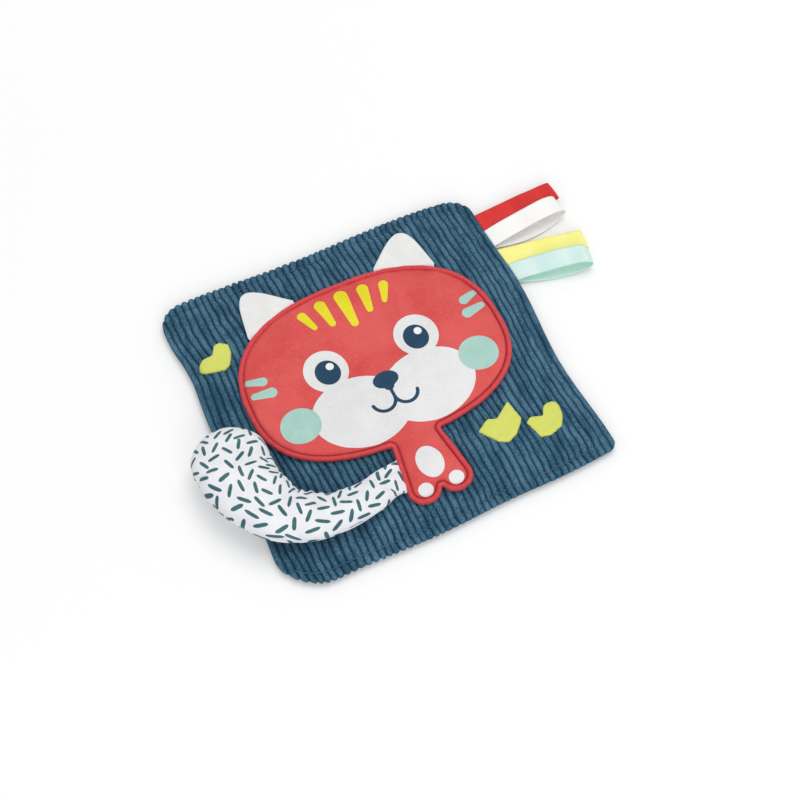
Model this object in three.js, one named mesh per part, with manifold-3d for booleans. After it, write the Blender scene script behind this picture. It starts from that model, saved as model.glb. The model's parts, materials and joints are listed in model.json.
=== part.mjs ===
// A flat crinkle toy for a baby: two corduroy panels sewn together round crinkle film and wadding,
// with a plush animal appliqued on the front, two loose ears, a stuffed tail that hangs over the
// left edge, three embroidered hearts, and four satin ribbon loops caught in the right seam.
// Millimetres, +Z up, +Y to the top of the design. The origin is under the middle of the pad,
// which lies face up on its back panel.
import * as THREE from "three";
import { mergeVertices } from "three/addons/utils/BufferGeometryUtils.js";
import Module from "manifold-3d";

const wasm = await Module();
wasm.setup();

// Pad
const padHalfWidth = 81;
const padHalfHeight = 79.8;
const seamHeight = 2.6; // the plane where the two panels are sewn to each other
const crownHeight = 8; // tops of the ribs in the middle of the pad
const flangeRise = 1.9; // the flat rim outside the topstitching, above the seam
const flangeDrop = 1.3; // and below it
const edgeRounding = 2; // how far in from the outline the rim is rounded
const stitchInset = 5; // from the outline to the topstitching
const stitchDip = 0.7; // how deep the topstitching pulls the cloth in
const stitchReach = 2.4; // how far to each side of the stitching the cloth is pulled
const crownRun = 34; // from the topstitching to where the front stops rising
const baseRun = 10; // from the topstitching to where the back lies flat
const cornerSharpness = 4; // how sharply the rim of one side turns into the next
const seamGap = 0.2;

// Each side of the outline: how far out it lies, and the slow wave that sewing gave it
const sides = {
  right: { reach: padHalfWidth, sway: 1.5, period: 95, start: -3, lean: 0 },
  left: { reach: padHalfWidth + 0.3, sway: 0.9, period: 75, start: -13.8, lean: 0 },
  top: { reach: padHalfHeight - 1.2, sway: 0.6, period: 100, start: -85, lean: 0 },
  bottom: { reach: padHalfHeight + 0.8, sway: 0.6, period: 80, start: -30, lean: -0.022 },
};
const cornerRadius = { rightTop: 12, leftTop: 7, leftBottom: 13, rightBottom: 7 };

// Cloth and filling
const ribCount = 50;
const ribDepth = 0.8;
const corduroy = 2; // thickness at a rib
const cavityMargin = 2.5; // from the topstitching to the filling's space
const leastCloth = 0.3; // of either panel, above or below the seam
const pastSeam = 1; // how far the filling's space is cut beyond the seam
const filmInset = 15;
const filmThickness = 0.15;
const fillingGap = 0.1; // between the layers of the filling
const filmHeight = corduroy + fillingGap; // underside of the lower film
const waddingInset = 8;

// Applique: head and body are one piece of plush with a satin stitched border
const head = { centreY: 9, halfWidth: 64, halfHeight: 45, power: 2.5, cheek: 0.04 };
const body = { neckHalfWidth: 11.5, hipHalfWidth: 14.5, neckY: -30, hipY: -62 };
const paw = { x: 7.8, y: -60.5, halfWidth: 8, halfHeight: 7.2 };
const restGap = 0.3; // between a piece of cloth and what it lies on
const layerCell = 7; // of the facets that follow the crown
const plush = 1.5;
const borderWidth = 3.2;
const borderThickness = 2;
const borderGap = 0.3;

// Ears: each is two layers of cotton, sewn and turned, free except along its base
const ear = { width: 29, height: 19, tipHalfWidth: 4.6, tipRadius: 4, tuck: 4 };
const earBulge = { across: 0.72, up: 0.42 }; // shares of the half width and the height
const earAngle = 61; // of the head's outline where an ear is sewn, in degrees
const earPly = 0.8;
const earPlyGap = 0.2;

// Embroidered hearts: middle, size across and turn from upright, in degrees
const hearts = [
  { name: "heart_patch_left", x: -66.4, y: 42.4, width: 14, turn: 28 },
  { name: "heart_patch_middle", x: 38.6, y: -45.4, width: 18, turn: 26 },
  { name: "heart_patch_right", x: 57.8, y: -51.6, width: 16, turn: 24 },
];
const embroidery = 0.7;

// Tail: the middle line seen from above, with its half width and height at each point
const tailRootY = -50.4;
const tailStations = [
  { x: -7, y: 0, half: 8.2, height: 4.2 },
  { x: -16, y: -3, half: 8.9, height: 8.2 },
  { x: -30, y: -5.9, half: 9.7, height: 11 },
  { x: -42.5, y: -4, half: 11.4, height: 12.6 },
  { x: -53.5, y: 2.6, half: 13.6, height: 14 },
  { x: -61.6, y: 12.6, half: 16.2, height: 15.4 },
  { x: -66.2, y: 24.4, half: 18.6, height: 16 },
  { x: -67.4, y: 34, half: 19.2, height: 16 },
];
const tailRoot = { half: 7.9, height: 2.2 };
const tailUnderShare = 0.4; // of the height, below the side seam
const tailSquareness = 0.86; // 1 gives a round section
const tailCotton = 0.6;
const tailSeamGap = 0.2;

// Ribbon loops, from the top of the right side down
const ribbon = { width: 10, thickness: 0.4, length: 38, fullness: 4, endLift: 4.6, rootGap: 0.4 };
const ribbonRootHalf = 0.5; // half the height of the two layers at the seam
const ribbonFoldHalf = 1.7; // half the height of the fold at the end
const ribbonHollowFrom = 2.2; // where the two layers part, from the seam
const ribbonStep = 0.3; // between two ribbons sewn side by side
const ribbonPairs = [
  { nearY: 44.4, turn: 3.5, names: ["white_ribbon_loop", "red_ribbon_loop"] },
  { nearY: 22.9, turn: -11, names: ["mint_ribbon_loop", "yellow_ribbon_loop"] },
];

const cloth = (colour, roughness) =>
  new THREE.MeshStandardMaterial({ color: colour, roughness, metalness: 0 });
const materials = {
  corduroy: cloth(0x3b6680, 0.95),
  film: new THREE.MeshStandardMaterial({ color: 0xc9d3da, roughness: 0.25, metalness: 0.1 }),
  wadding: cloth(0xf0f0ee, 1),
  plush: cloth(0xe0605f, 0.9),
  border: cloth(0xdc3f47, 0.6),
  earCotton: cloth(0xe9e9e8, 0.85),
  embroidery: cloth(0xdbe36a, 0.6),
  print: cloth(0xf2f2f5, 0.85),
  red: cloth(0xdb3b3a, 0.4),
  white: cloth(0xf5f5f5, 0.4),
  yellow: cloth(0xf3ef7c, 0.4),
  mint: cloth(0xc4ebe2, 0.4),
};

// Solids

function solidFrom(points, triangles) {
  const mesh = { numProp: 3, vertProperties: new Float32Array(points.flat()) };
  return new wasm.Manifold(new wasm.Mesh({ ...mesh, triVerts: new Uint32Array(triangles.flat()) }));
}

function solidOf(geometry) {
  const bare = geometry.clone();
  bare.deleteAttribute("normal");
  bare.deleteAttribute("uv");
  const merged = mergeVertices(bare, 1e-4);
  const vertProperties = new Float32Array(merged.getAttribute("position").array);
  const triVerts = new Uint32Array(merged.index.array);
  return new wasm.Manifold(new wasm.Mesh({ numProp: 3, vertProperties, triVerts }));
}

function meshOf(name, solid, material) {
  const made = solid.getMesh();
  const geometry = new THREE.BufferGeometry();
  geometry.setAttribute("position", new THREE.BufferAttribute(made.vertProperties, 3));
  geometry.setIndex(new THREE.BufferAttribute(made.triVerts, 1));
  const facets = geometry.toNonIndexed();
  facets.computeVertexNormals();
  const mesh = new THREE.Mesh(facets, material);
  mesh.name = name;
  return mesh;
}

// The closed slab between two surfaces that share one grid of parameters
function slab(us, vs, upper, lower) {
  const [nu, nv] = [us.length, vs.length];
  const points = [upper, lower].flatMap((surface) => us.flatMap((u) => vs.map((v) => surface(u, v))));
  const at = (layer, i, j) => (layer * nu + i) * nv + j;
  const triangles = [];
  const quad = (a, b, c, d) => triangles.push([a, b, c], [a, c, d]);
  for (let i = 0; i < nu - 1; i++) {
    for (let j = 0; j < nv - 1; j++) {
      quad(at(0, i, j), at(0, i + 1, j), at(0, i + 1, j + 1), at(0, i, j + 1));
      quad(at(1, i, j), at(1, i, j + 1), at(1, i + 1, j + 1), at(1, i + 1, j));
    }
    quad(at(1, i, 0), at(1, i + 1, 0), at(0, i + 1, 0), at(0, i, 0));
    quad(at(1, i + 1, nv - 1), at(1, i, nv - 1), at(0, i, nv - 1), at(0, i + 1, nv - 1));
  }
  for (let j = 0; j < nv - 1; j++) {
    quad(at(1, 0, j + 1), at(1, 0, j), at(0, 0, j), at(0, 0, j + 1));
    quad(at(1, nu - 1, j), at(1, nu - 1, j + 1), at(0, nu - 1, j + 1), at(0, nu - 1, j));
  }
  return solidFrom(points, triangles);
}

// The solid between a surface whose rim is level and the flat face that closes that rim
function dome(us, vs, surface, facesUp) {
  const [nu, nv] = [us.length, vs.length];
  const points = us.flatMap((u) => vs.map((v) => surface(u, v)));
  const triangles = [];
  for (let i = 0; i < nu - 1; i++) {
    for (let j = 0; j < nv - 1; j++) {
      const [a, b, c, d] = [i * nv + j, (i + 1) * nv + j, (i + 1) * nv + j + 1, i * nv + j + 1];
      triangles.push([a, b, c], [a, c, d]);
    }
  }
  const rim = [
    ...us.slice(0, -1).map((u, i) => i * nv),
    ...vs.slice(0, -1).map((v, j) => (nu - 1) * nv + j),
    ...us.slice(1).map((u, i) => (nu - i) * nv - 1),
    ...vs.slice(1).map((v, j) => nv - 1 - j),
  ];
  const contour = rim.map((k) => new THREE.Vector2(points[k][0], points[k][1]));
  for (const [a, b, c] of THREE.ShapeUtils.triangulateShape(contour, [])) {
    triangles.push([rim[a], rim[c], rim[b]]);
  }
  return solidFrom(points, facesUp ? triangles : triangles.map(([a, b, c]) => [a, c, b]));
}

const evenSteps = (from, to, count) =>
  Array.from({ length: count + 1 }, (_, i) => from + ((to - from) * i) / count);

// An upright prism that reaches well past the pad's faces, to cut flat pieces with
const cutterBelow = 5;
const cutterAbove = 40;
function prism(outline, from = -cutterBelow, to = cutterAbove) {
  const shape = new THREE.Shape(outline.map(([x, y]) => new THREE.Vector2(x, y)));
  const geometry = new THREE.ExtrudeGeometry(shape, { depth: to - from, bevelEnabled: false });
  return solidOf(geometry.translate(0, 0, from));
}

// Pad

function sideReach(side, along) {
  const wave = side.sway * Math.sin((2 * Math.PI * (along - side.start)) / side.period);
  return side.reach + wave + side.lean * along;
}

function cornerOf(s, t) {
  const radius = cornerRadius[(s < 0 ? "left" : "right") + (t < 0 ? "Bottom" : "Top")];
  const cut = radius * (1 - Math.SQRT1_2);
  return { cut, power: padHalfWidth / cut };
}

// The point of the pad's plan at s, t, each from -1 at one side to 1 at the other
function padPlan(s, t) {
  const [alongX, alongY] = [s * padHalfWidth, t * padHalfHeight];
  const right = sideReach(sides.right, alongY);
  const left = sideReach(sides.left, alongY);
  const top = sideReach(sides.top, alongX);
  const bottom = sideReach(sides.bottom, alongX);
  const { cut, power } = cornerOf(s, t);
  const x = ((1 + s) * right - (1 - s) * left) / 2 - s * cut * Math.abs(t) ** power;
  const y = ((1 + t) * top - (1 - t) * bottom) / 2 - t * cut * Math.abs(s) ** power;
  return [x, y];
}

// The parameters of a point in the plan, away from the corners
function padParameters(x, y) {
  let [s, t] = [x / padHalfWidth, y / padHalfHeight];
  for (let round = 0; round < 4; round++) {
    const right = sideReach(sides.right, t * padHalfHeight);
    const left = sideReach(sides.left, t * padHalfHeight);
    const top = sideReach(sides.top, s * padHalfWidth);
    const bottom = sideReach(sides.bottom, s * padHalfWidth);
    s = (2 * x + left - right) / (left + right);
    t = (2 * y + bottom - top) / (bottom + top);
  }
  return [s, t];
}

// How far inside the outline the point at s, t lies: the smaller distance, blended at a corner
function insideBy(s, t) {
  const fromSide = (1 - Math.abs(s)) * padHalfWidth;
  const fromEnd = (1 - Math.abs(t)) * padHalfHeight;
  return (fromSide ** -cornerSharpness + fromEnd ** -cornerSharpness) ** (-1 / cornerSharpness);
}

const roundedRim = (d) => Math.sqrt(1 - (1 - Math.min(d / edgeRounding, 1)) ** 2);
const levelling = (u) => 1 - (1 - Math.min(Math.max(u, 0), 1)) ** 3;
const pulledIn = (d) => Math.max(0, 1 - ((d - stitchInset) / stitchReach) ** 2) ** 2;

// Height of the tops of the ribs, and of the pad's underside
function crest(s, t) {
  const d = insideBy(s, t);
  const crownRise = crownHeight - seamHeight - flangeRise;
  const rise = crownRise * levelling((d - stitchInset) / crownRun);
  return seamHeight + flangeRise * roundedRim(d) + rise - stitchDip * pulledIn(d);
}

function underside(s, t) {
  const d = insideBy(s, t);
  const drop = (seamHeight - flangeDrop) * levelling((d - stitchInset) / baseRun);
  return seamHeight - flangeDrop * roundedRim(d) - drop + (stitchDip / 2) * pulledIn(d);
}

const crestAt = (x, y) => crest(...padParameters(x, y));

// Stations from -1 to 1 across the pad: at the rim, at the stitching, and where the crown and
// the slow waves of the sides bend
function stations(half, between) {
  const rim = [0, edgeRounding * 0.8, stitchInset].map((d) => 1 - d / half);
  return [...rim.map((k) => -k), ...between, ...rim.reverse()];
}
const rows = stations(padHalfHeight, [-0.75, -0.3, 0.22, 0.5, 0.76]);

function padSurface(height) {
  return (s, t) => [...padPlan(s, t), height(s, t)];
}

const cavitySteps = [-1, -0.94, -0.86, -0.5, 0, 0.5, 0.86, 0.94, 1];

// A block of the pad's shape drawn in by an inset, between the lower and upper heights
function padBlock(inset, lower, upper) {
  const [reachS, reachT] = [1 - inset / padHalfWidth, 1 - inset / padHalfHeight];
  const drawnIn = (height) => (u, v) => [...padPlan(u * reachS, v * reachT), height(u * reachS, v * reachT)];
  return slab(cavitySteps, cavitySteps, drawnIn(upper), drawnIn(lower));
}

// The space for the filling
const cavity = (lower, upper) => padBlock(stitchInset + cavityMargin, lower, upper);
const cavityTop = (s, t) => Math.max(seamHeight + leastCloth, crest(s, t) - corduroy);
const cavityBottom = (s, t) => Math.min(seamHeight - leastCloth, underside(s, t) + corduroy);

// Front panel: its ribs run up the pad, each two facets wide. The rim comes down to the seam.
function frontPanel() {
  const columns = evenSteps(-1, 1, 2 * ribCount);
  const isGroove = (s) => Math.round((s + 1) * ribCount) % 2 === 0;
  const ribbed = (s, t) => {
    const fade = Math.min(1, insideBy(s, t) / edgeRounding);
    return crest(s, t) + seamGap / 2 - (isGroove(s) ? ribDepth * fade : 0);
  };
  const whole = dome(columns, rows, padSurface(ribbed), true);
  return whole.subtract(cavity(() => seamHeight - pastSeam, cavityTop));
}

function backPanel() {
  const columns = stations(padHalfWidth, [-0.8, -0.4, 0.1, 0.5, 0.8]);
  const seam = seamHeight - seamGap / 2;
  const under = (s, t) => Math.min(seam, underside(s, t));
  const whole = dome(columns, rows, padSurface(under), false);
  return whole.subtract(cavity(cavityBottom, () => seamHeight + pastSeam));
}

// The pad's outline drawn in by an inset
function padOutline(inset) {
  const [s, t] = [1 - inset / padHalfWidth, 1 - inset / padHalfHeight];
  const steps = evenSteps(-1, 1, 10).slice(0, -1);
  return [
    ...steps.map((k) => padPlan(k * s, -t)),
    ...steps.map((k) => padPlan(s, k * t)),
    ...steps.map((k) => padPlan(-k * s, t)),
    ...steps.map((k) => padPlan(-s, -k * t)),
  ];
}

function film(height) {
  return prism(padOutline(filmInset), height, height + filmThickness);
}

function wadding() {
  const bottom = filmHeight + 2 * filmThickness + 2 * fillingGap;
  const top = (s, t) => cavityTop(s, t) - fillingGap;
  return padBlock(waddingInset, () => bottom, top).intersect(cavity(() => seamHeight - pastSeam, top));
}

// Pieces cut from a layer that follows the pad's crown

function crownLayer(outline, from, to) {
  const grow = 2;
  const range = (k) => {
    const values = outline.map((p) => p[k]);
    const [low, high] = [Math.min(...values) - grow, Math.max(...values) + grow];
    return evenSteps(low, high, Math.ceil((high - low) / layerCell));
  };
  const surface = (lift) => (x, y) => [x, y, crestAt(x, y) + lift];
  return slab(range(0), range(1), surface(to), surface(from));
}

const onCrown = (outline, from, to) => crownLayer(outline, from, to).intersect(prism(outline));

// A point of the head's outline: a full oval, a little wider at the cheeks
function headPoint(angle) {
  const [c, s] = [Math.cos(angle), Math.sin(angle)];
  const x = head.halfWidth * Math.sign(c) * Math.abs(c) ** (2 / head.power);
  const y = head.halfHeight * Math.sign(s) * Math.abs(s) ** (2 / head.power);
  return [x * (1 - head.cheek * s), head.centreY + y];
}

function headOutward(angle) {
  const step = 0.01;
  const [a, b] = [headPoint(angle - step), headPoint(angle + step)];
  const length = Math.hypot(b[0] - a[0], b[1] - a[1]);
  return [(b[1] - a[1]) / length, (a[0] - b[0]) / length];
}

function headOutline(inset) {
  return evenSteps(0, 2 * Math.PI, 72).slice(0, -1).map((angle) => {
    const [[x, y], [ox, oy]] = [headPoint(angle), headOutward(angle)];
    return [x - inset * ox, y - inset * oy];
  });
}

// The body: a neck that widens to the hips, and two round paws
const bodySlope = (body.hipHalfWidth - body.neckHalfWidth) / (body.neckY - body.hipY);
const bodyHalfWidthAt = (y) => body.neckHalfWidth + (body.neckY - y) * bodySlope;

function bodyOutline(inset) {
  const half = (y) => bodyHalfWidthAt(y) - inset * Math.hypot(1, bodySlope);
  const right = [[half(body.hipY), body.hipY], [half(head.centreY), head.centreY]];
  return [...right, ...right.map(([x, y]) => [-x, y]).reverse()];
}

function pawOutline(side, inset) {
  return evenSteps(0, 2 * Math.PI, 24).slice(0, -1).map((angle) => {
    const x = side * paw.x + (paw.halfWidth - inset) * Math.cos(angle);
    return [x, paw.y + (paw.halfHeight - inset) * Math.sin(angle)];
  });
}

function appliquePrism(inset) {
  const paws = prism(pawOutline(-1, inset)).add(prism(pawOutline(1, inset)));
  return prism(headOutline(inset)).add(prism(bodyOutline(inset))).add(paws);
}
const wholeApplique = [...headOutline(0), ...pawOutline(-1, 0), ...pawOutline(1, 0)];

function plushPanel() {
  const layer = crownLayer(wholeApplique, restGap, restGap + plush);
  return layer.intersect(appliquePrism(borderWidth + borderGap));
}

function satinBorder() {
  const layer = crownLayer(wholeApplique, restGap, restGap + borderThickness);
  return layer.intersect(appliquePrism(0)).subtract(appliquePrism(borderWidth));
}

// Ears: a rounded triangle square to the head's edge, with its base cut to the border

function earOutline(side) {
  const half = ear.width / 2;
  const tipArc = evenSteps(0, 1, 5).map((k) => {
    const angle = (k * Math.PI) / 2;
    const centre = [ear.tipHalfWidth - ear.tipRadius, ear.height - ear.tipRadius];
    return [centre[0] + ear.tipRadius * Math.cos(angle), centre[1] + ear.tipRadius * Math.sin(angle)];
  });
  const right = [[half, -ear.tuck], [half, 0], [half * earBulge.across, ear.height * earBulge.up], ...tipArc];
  const whole = [...right, ...right.map(([x, y]) => [-x, y]).reverse()];
  const angle = THREE.MathUtils.degToRad(earAngle);
  const [[x, y], [ox, oy]] = [headPoint(angle), headOutward(angle)];
  const placed = whole.map(([across, up]) => [side * (x + oy * across + ox * up), y - ox * across + oy * up]);
  return side > 0 ? placed : placed.reverse();
}

function earPieces(side, word) {
  const outline = earOutline(side);
  const headAndGap = prism(headOutline(-borderGap));
  const group = new THREE.Group();
  [[word + "_ear_back", restGap], [word + "_ear_front", restGap + earPly + earPlyGap]].forEach(([name, from]) => {
    const ply = onCrown(outline, from, from + earPly).subtract(headAndGap);
    group.add(meshOf(name, ply, materials.earCotton));
  });
  return group;
}

// Hearts: the usual heart curve, its width and turn as stated
function heartOutline(heart) {
  const turn = THREE.MathUtils.degToRad(heart.turn);
  const scale = heart.width / 32;
  return evenSteps(0, 2 * Math.PI, 36).slice(0, -1).map((a) => {
    const x = -16 * Math.sin(a) ** 3 * scale;
    const lobes = 13 * Math.cos(a) - 5 * Math.cos(2 * a) - 2 * Math.cos(3 * a) - Math.cos(4 * a);
    const y = (lobes + 2.5) * scale;
    return [heart.x + x * Math.cos(turn) - y * Math.sin(turn), heart.y + x * Math.sin(turn) + y * Math.cos(turn)];
  });
}

// Tail

const tailRootX = -(Math.max(body.hipHalfWidth, paw.x + paw.halfWidth) + borderGap);
const tailBottom = crownHeight + seamGap / 2 + tailSeamGap / 2 + restGap;

// Stations along the tail, close together at its round end
function tailSections() {
  const at = [{ x: 0, y: 0, ...tailRoot }, ...tailStations];
  const line = new THREE.CatmullRomCurve3(at.map((p) => new THREE.Vector3(p.x, p.y, 0)));
  const sizes = new THREE.CatmullRomCurve3(at.map((p, i) => new THREE.Vector3(p.half, p.height, i)));
  const along = evenSteps(0, 1, 18).map((u) => {
    const [place, tangent, size] = [line.getPoint(u), line.getTangent(u), sizes.getPoint(u)];
    return { x: place.x, y: place.y, tx: tangent.x, ty: tangent.y, half: size.x, height: size.y };
  });
  Object.assign(along[0], { tx: -1, ty: 0 });
  const last = along[along.length - 1];
  const cap = [0.3, 0.56, 0.77, 0.91, 0.985].map((k) => {
    const share = Math.sqrt(1 - k * k);
    const reach = last.half * k;
    const [x, y] = [last.x + last.tx * reach, last.y + last.ty * reach];
    return { ...last, x, y, half: last.half * share, height: last.height * Math.sqrt(share) };
  });
  return [...along, ...cap];
}

// A solid swept along the tail, drawn in by an inset. Its section goes round between two shares of
// a turn, and a half section is moved up or down by its share of the seam's gap.
function sweptTail(inset, from, to, steps, lift = 0) {
  const sections = tailSections().filter((p) => Math.min(p.half, p.height * tailUnderShare) > inset + 0.2);
  const rings = sections.map((p, i) => {
    const shorten = i === sections.length - 1 ? inset : 0;
    const [cx, cy] = [tailRootX + p.x - p.tx * shorten, tailRootY + p.y - p.ty * shorten];
    const middle = tailBottom + p.height * tailUnderShare + lift;
    return evenSteps(from, to, steps).map((turn) => {
      const [c, s] = [Math.cos(turn * 2 * Math.PI), Math.sin(turn * 2 * Math.PI)];
      const share = s > 0 ? 1 - tailUnderShare : tailUnderShare;
      const across = (p.half - inset) * Math.sign(c) * Math.abs(c) ** tailSquareness;
      const up = (p.height * share - inset) * Math.sign(s) * Math.abs(s) ** tailSquareness;
      return [cx + p.ty * across, cy - p.tx * across, middle + up];
    });
  });
  return lofted(rings, to - from === 1);
}

// Joins rings of points into one closed solid, with a flat cap at each end
function lofted(rings, closed) {
  const count = closed ? rings[0].length - 1 : rings[0].length;
  const points = rings.flatMap((ring) => ring.slice(0, count));
  const triangles = [];
  for (let i = 0; i < rings.length - 1; i++) {
    for (let j = 0; j < count; j++) {
      const [a, b] = [i * count + j, i * count + ((j + 1) % count)];
      triangles.push([a, a + count, b], [b, a + count, b + count]);
    }
  }
  const end = (rings.length - 1) * count;
  for (let j = 1; j < count - 1; j++) {
    triangles.push([0, j, j + 1], [end, end + j + 1, end + j]);
  }
  const made = solidFrom(points, triangles);
  return made.volume() < 0 ? solidFrom(points, triangles.map(([a, b, c]) => [a, c, b])) : made;
}

function tailPieces() {
  const space = sweptTail(tailCotton, 0, 1, 16);
  const group = new THREE.Group();
  const over = sweptTail(0, 0, 0.5, 10, tailSeamGap / 2).subtract(space);
  const under = sweptTail(0, 0.5, 1, 8, -tailSeamGap / 2).subtract(space);
  group.add(meshOf("tail_upper_panel", over, materials.print));
  group.add(meshOf("tail_under_panel", under, materials.print));
  group.add(meshOf("tail_stuffing", sweptTail(tailCotton + tailSeamGap, 0, 1, 14), materials.wadding));
  return group;
}

// Ribbons

// Direction of the right side of the pad where the ribbons are sewn in
const ribbonTop = ribbonPairs[0].nearY + 2 * ribbon.width + ribbonStep;
const ribbonBottom = ribbonPairs[1].nearY;
const rightEdge = (y) => sideReach(sides.right, y);
const seamLean = Math.atan2(rightEdge(ribbonTop) - rightEdge(ribbonBottom), ribbonTop - ribbonBottom);

// A loop seen from its open side: it leaves the seam flat, swells to a half sine whose top lies
// past its middle, and keeps the height of its fold up to its end
function loopProfile(inset) {
  const from = inset > 0 ? ribbonHollowFrom : 0;
  const reach = ribbon.length - inset;
  const half = (p) => {
    const u = Math.min(1, p / ribbon.length);
    const swell = ribbon.fullness * Math.sin(Math.PI * u ** 1.45) ** 0.8;
    const fold = ribbonFoldHalf * u * Math.sqrt(Math.max(0, 1 - u ** 8));
    return ribbonRootHalf + Math.max(swell, fold);
  };
  const middle = (p) => ribbon.endLift * (p / ribbon.length) ** 1.3;
  const steps = evenSteps(0, 1, 13).map((k) => from + (reach - from) * Math.sin((k * Math.PI) / 2));
  const upper = steps.slice(0, -1).map((p) => [p, middle(p) + half(p) - inset]);
  const lower = steps.slice(0, -1).map((p) => [p, middle(p) - half(p) + inset]);
  return [...lower, [reach, middle(ribbon.length)], ...upper.reverse()];
}

function ribbonLoop(name, nearY, turn) {
  const toVectors = (points) => points.map(([x, y]) => new THREE.Vector2(x, y));
  const shape = new THREE.Shape(toVectors(loopProfile(0)));
  shape.holes.push(new THREE.Path(toVectors(loopProfile(ribbon.thickness))));
  const geometry = new THREE.ExtrudeGeometry(shape, { depth: ribbon.width, bevelEnabled: false });
  geometry.rotateX(Math.PI / 2).translate(0, ribbon.width, 0);
  const slant = Math.tan(THREE.MathUtils.degToRad(turn) + seamLean);
  geometry.applyMatrix4(new THREE.Matrix4().makeShear(slant, 0, 0, 0, 0, 0));
  const mesh = new THREE.Mesh(geometry, materials[name.split("_")[0]]);
  const over = evenSteps(nearY, nearY + ribbon.width, 4);
  const clear = Math.max(...over.map((y) => rightEdge(y) - Math.tan(seamLean) * (y - nearY)));
  mesh.name = name;
  mesh.position.set(clear + ribbon.rootGap, nearY, seamHeight);
  mesh.rotation.z = -seamLean;
  return mesh;
}

// Assembly

const toy = new THREE.Group();
toy.add(meshOf("back_panel", backPanel(), materials.corduroy));
toy.add(meshOf("crinkle_film_lower", film(filmHeight), materials.film));
toy.add(meshOf("crinkle_film_upper", film(filmHeight + filmThickness + fillingGap), materials.film));
toy.add(meshOf("wadding", wadding(), materials.wadding));
toy.add(meshOf("front_panel", frontPanel(), materials.corduroy));
toy.add(meshOf("plush_applique", plushPanel(), materials.plush));
toy.add(meshOf("applique_border", satinBorder(), materials.border));
for (const heart of hearts) {
  const patch = onCrown(heartOutline(heart), restGap, restGap + embroidery);
  toy.add(meshOf(heart.name, patch, materials.embroidery));
}
toy.add(earPieces(-1, "left"));
toy.add(earPieces(1, "right"));
toy.add(tailPieces());
for (const pair of ribbonPairs) {
  pair.names.forEach((name, place) => {
    toy.add(ribbonLoop(name, pair.nearY + place * (ribbon.width + ribbonStep), pair.turn));
  });
}

export default toy;
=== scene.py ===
import json
import math

import bmesh
import bpy
import numpy as np
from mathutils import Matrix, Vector

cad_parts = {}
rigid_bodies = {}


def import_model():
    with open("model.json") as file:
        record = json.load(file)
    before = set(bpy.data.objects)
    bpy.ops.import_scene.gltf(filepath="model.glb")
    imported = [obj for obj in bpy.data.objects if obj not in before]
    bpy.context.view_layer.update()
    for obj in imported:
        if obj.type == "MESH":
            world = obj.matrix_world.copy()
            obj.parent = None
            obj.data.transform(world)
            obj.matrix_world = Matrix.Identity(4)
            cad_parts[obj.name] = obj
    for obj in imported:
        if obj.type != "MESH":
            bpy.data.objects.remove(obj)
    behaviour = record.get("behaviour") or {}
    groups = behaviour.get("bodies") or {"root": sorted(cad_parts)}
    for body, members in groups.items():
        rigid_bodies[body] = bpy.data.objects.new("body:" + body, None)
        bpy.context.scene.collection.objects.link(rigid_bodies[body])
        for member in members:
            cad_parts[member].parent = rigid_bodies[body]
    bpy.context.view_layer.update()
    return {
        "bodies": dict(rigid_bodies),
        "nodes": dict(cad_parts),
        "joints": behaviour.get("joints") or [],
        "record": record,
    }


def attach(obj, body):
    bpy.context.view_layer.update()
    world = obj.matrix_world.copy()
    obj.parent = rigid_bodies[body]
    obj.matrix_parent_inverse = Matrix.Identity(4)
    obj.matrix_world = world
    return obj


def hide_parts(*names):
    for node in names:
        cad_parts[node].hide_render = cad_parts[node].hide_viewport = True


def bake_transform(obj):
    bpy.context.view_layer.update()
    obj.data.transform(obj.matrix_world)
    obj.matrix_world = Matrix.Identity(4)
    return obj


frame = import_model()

# A flat crinkle toy for a baby. Lengths in this script are millimetres in the CAD's frame, and each
# piece is put down in metres.
MM = 0.001
FULL_TURN = 2 * np.pi


def set_all(thing, **values):
    """Sets a thing's properties."""
    for key, value in values.items():
        setattr(thing, key, value)


def put_object(name, data):
    """A new object at the origin."""
    made = bpy.data.objects.new(name, data)
    bpy.context.scene.collection.objects.link(made)
    return made


def look_down(thing, back, away=1.0):
    """Puts a camera or a lamp some way out along a line from the middle, looking down that line."""
    set_all(thing, location=back * away, rotation_mode="QUATERNION",
            rotation_quaternion=back.to_track_quat("Z", "Y"))


# Camera


def photo_camera():
    """The camera stands 883 mm from the pad's middle, 25.3 degrees to its left and 60.7 degrees
    above it, with an 85.5 mm lens."""
    turn, rise = math.radians(-25.3), math.radians(60.7)
    level = math.cos(rise)
    lens = bpy.data.cameras.new("photo_camera")
    set_all(lens, lens=85.5, sensor_width=36, shift_x=0.0221, shift_y=-0.0193, clip_start=0.05,
            clip_end=20)
    camera = put_object("photo_camera", lens)
    back = Vector((math.sin(turn) * level, -math.cos(turn) * level, math.sin(rise)))
    look_down(camera, back, 0.883)
    bpy.context.scene.camera = camera


photo_camera()


# Meshes

WELD_REACH = 2e-6


def grid_faces(rows, columns):
    """The corner numbers of the four-sided faces between rows and columns of points."""
    at = np.arange(rows * columns).reshape(rows, columns)
    return together(at[:-1, :-1], at[1:, :-1], at[1:, 1:], at[:-1, 1:]).reshape(-1, 4)


def ring_faces(at):
    """The faces between rings of numbered points, where each ring's last point joins its first."""
    after = np.roll(at, -1, -1)
    corners = at[..., :-1, :], at[..., 1:, :], after[..., 1:, :], after[..., :-1, :]
    return together(*corners).reshape(-1, 4).tolist()


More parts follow.
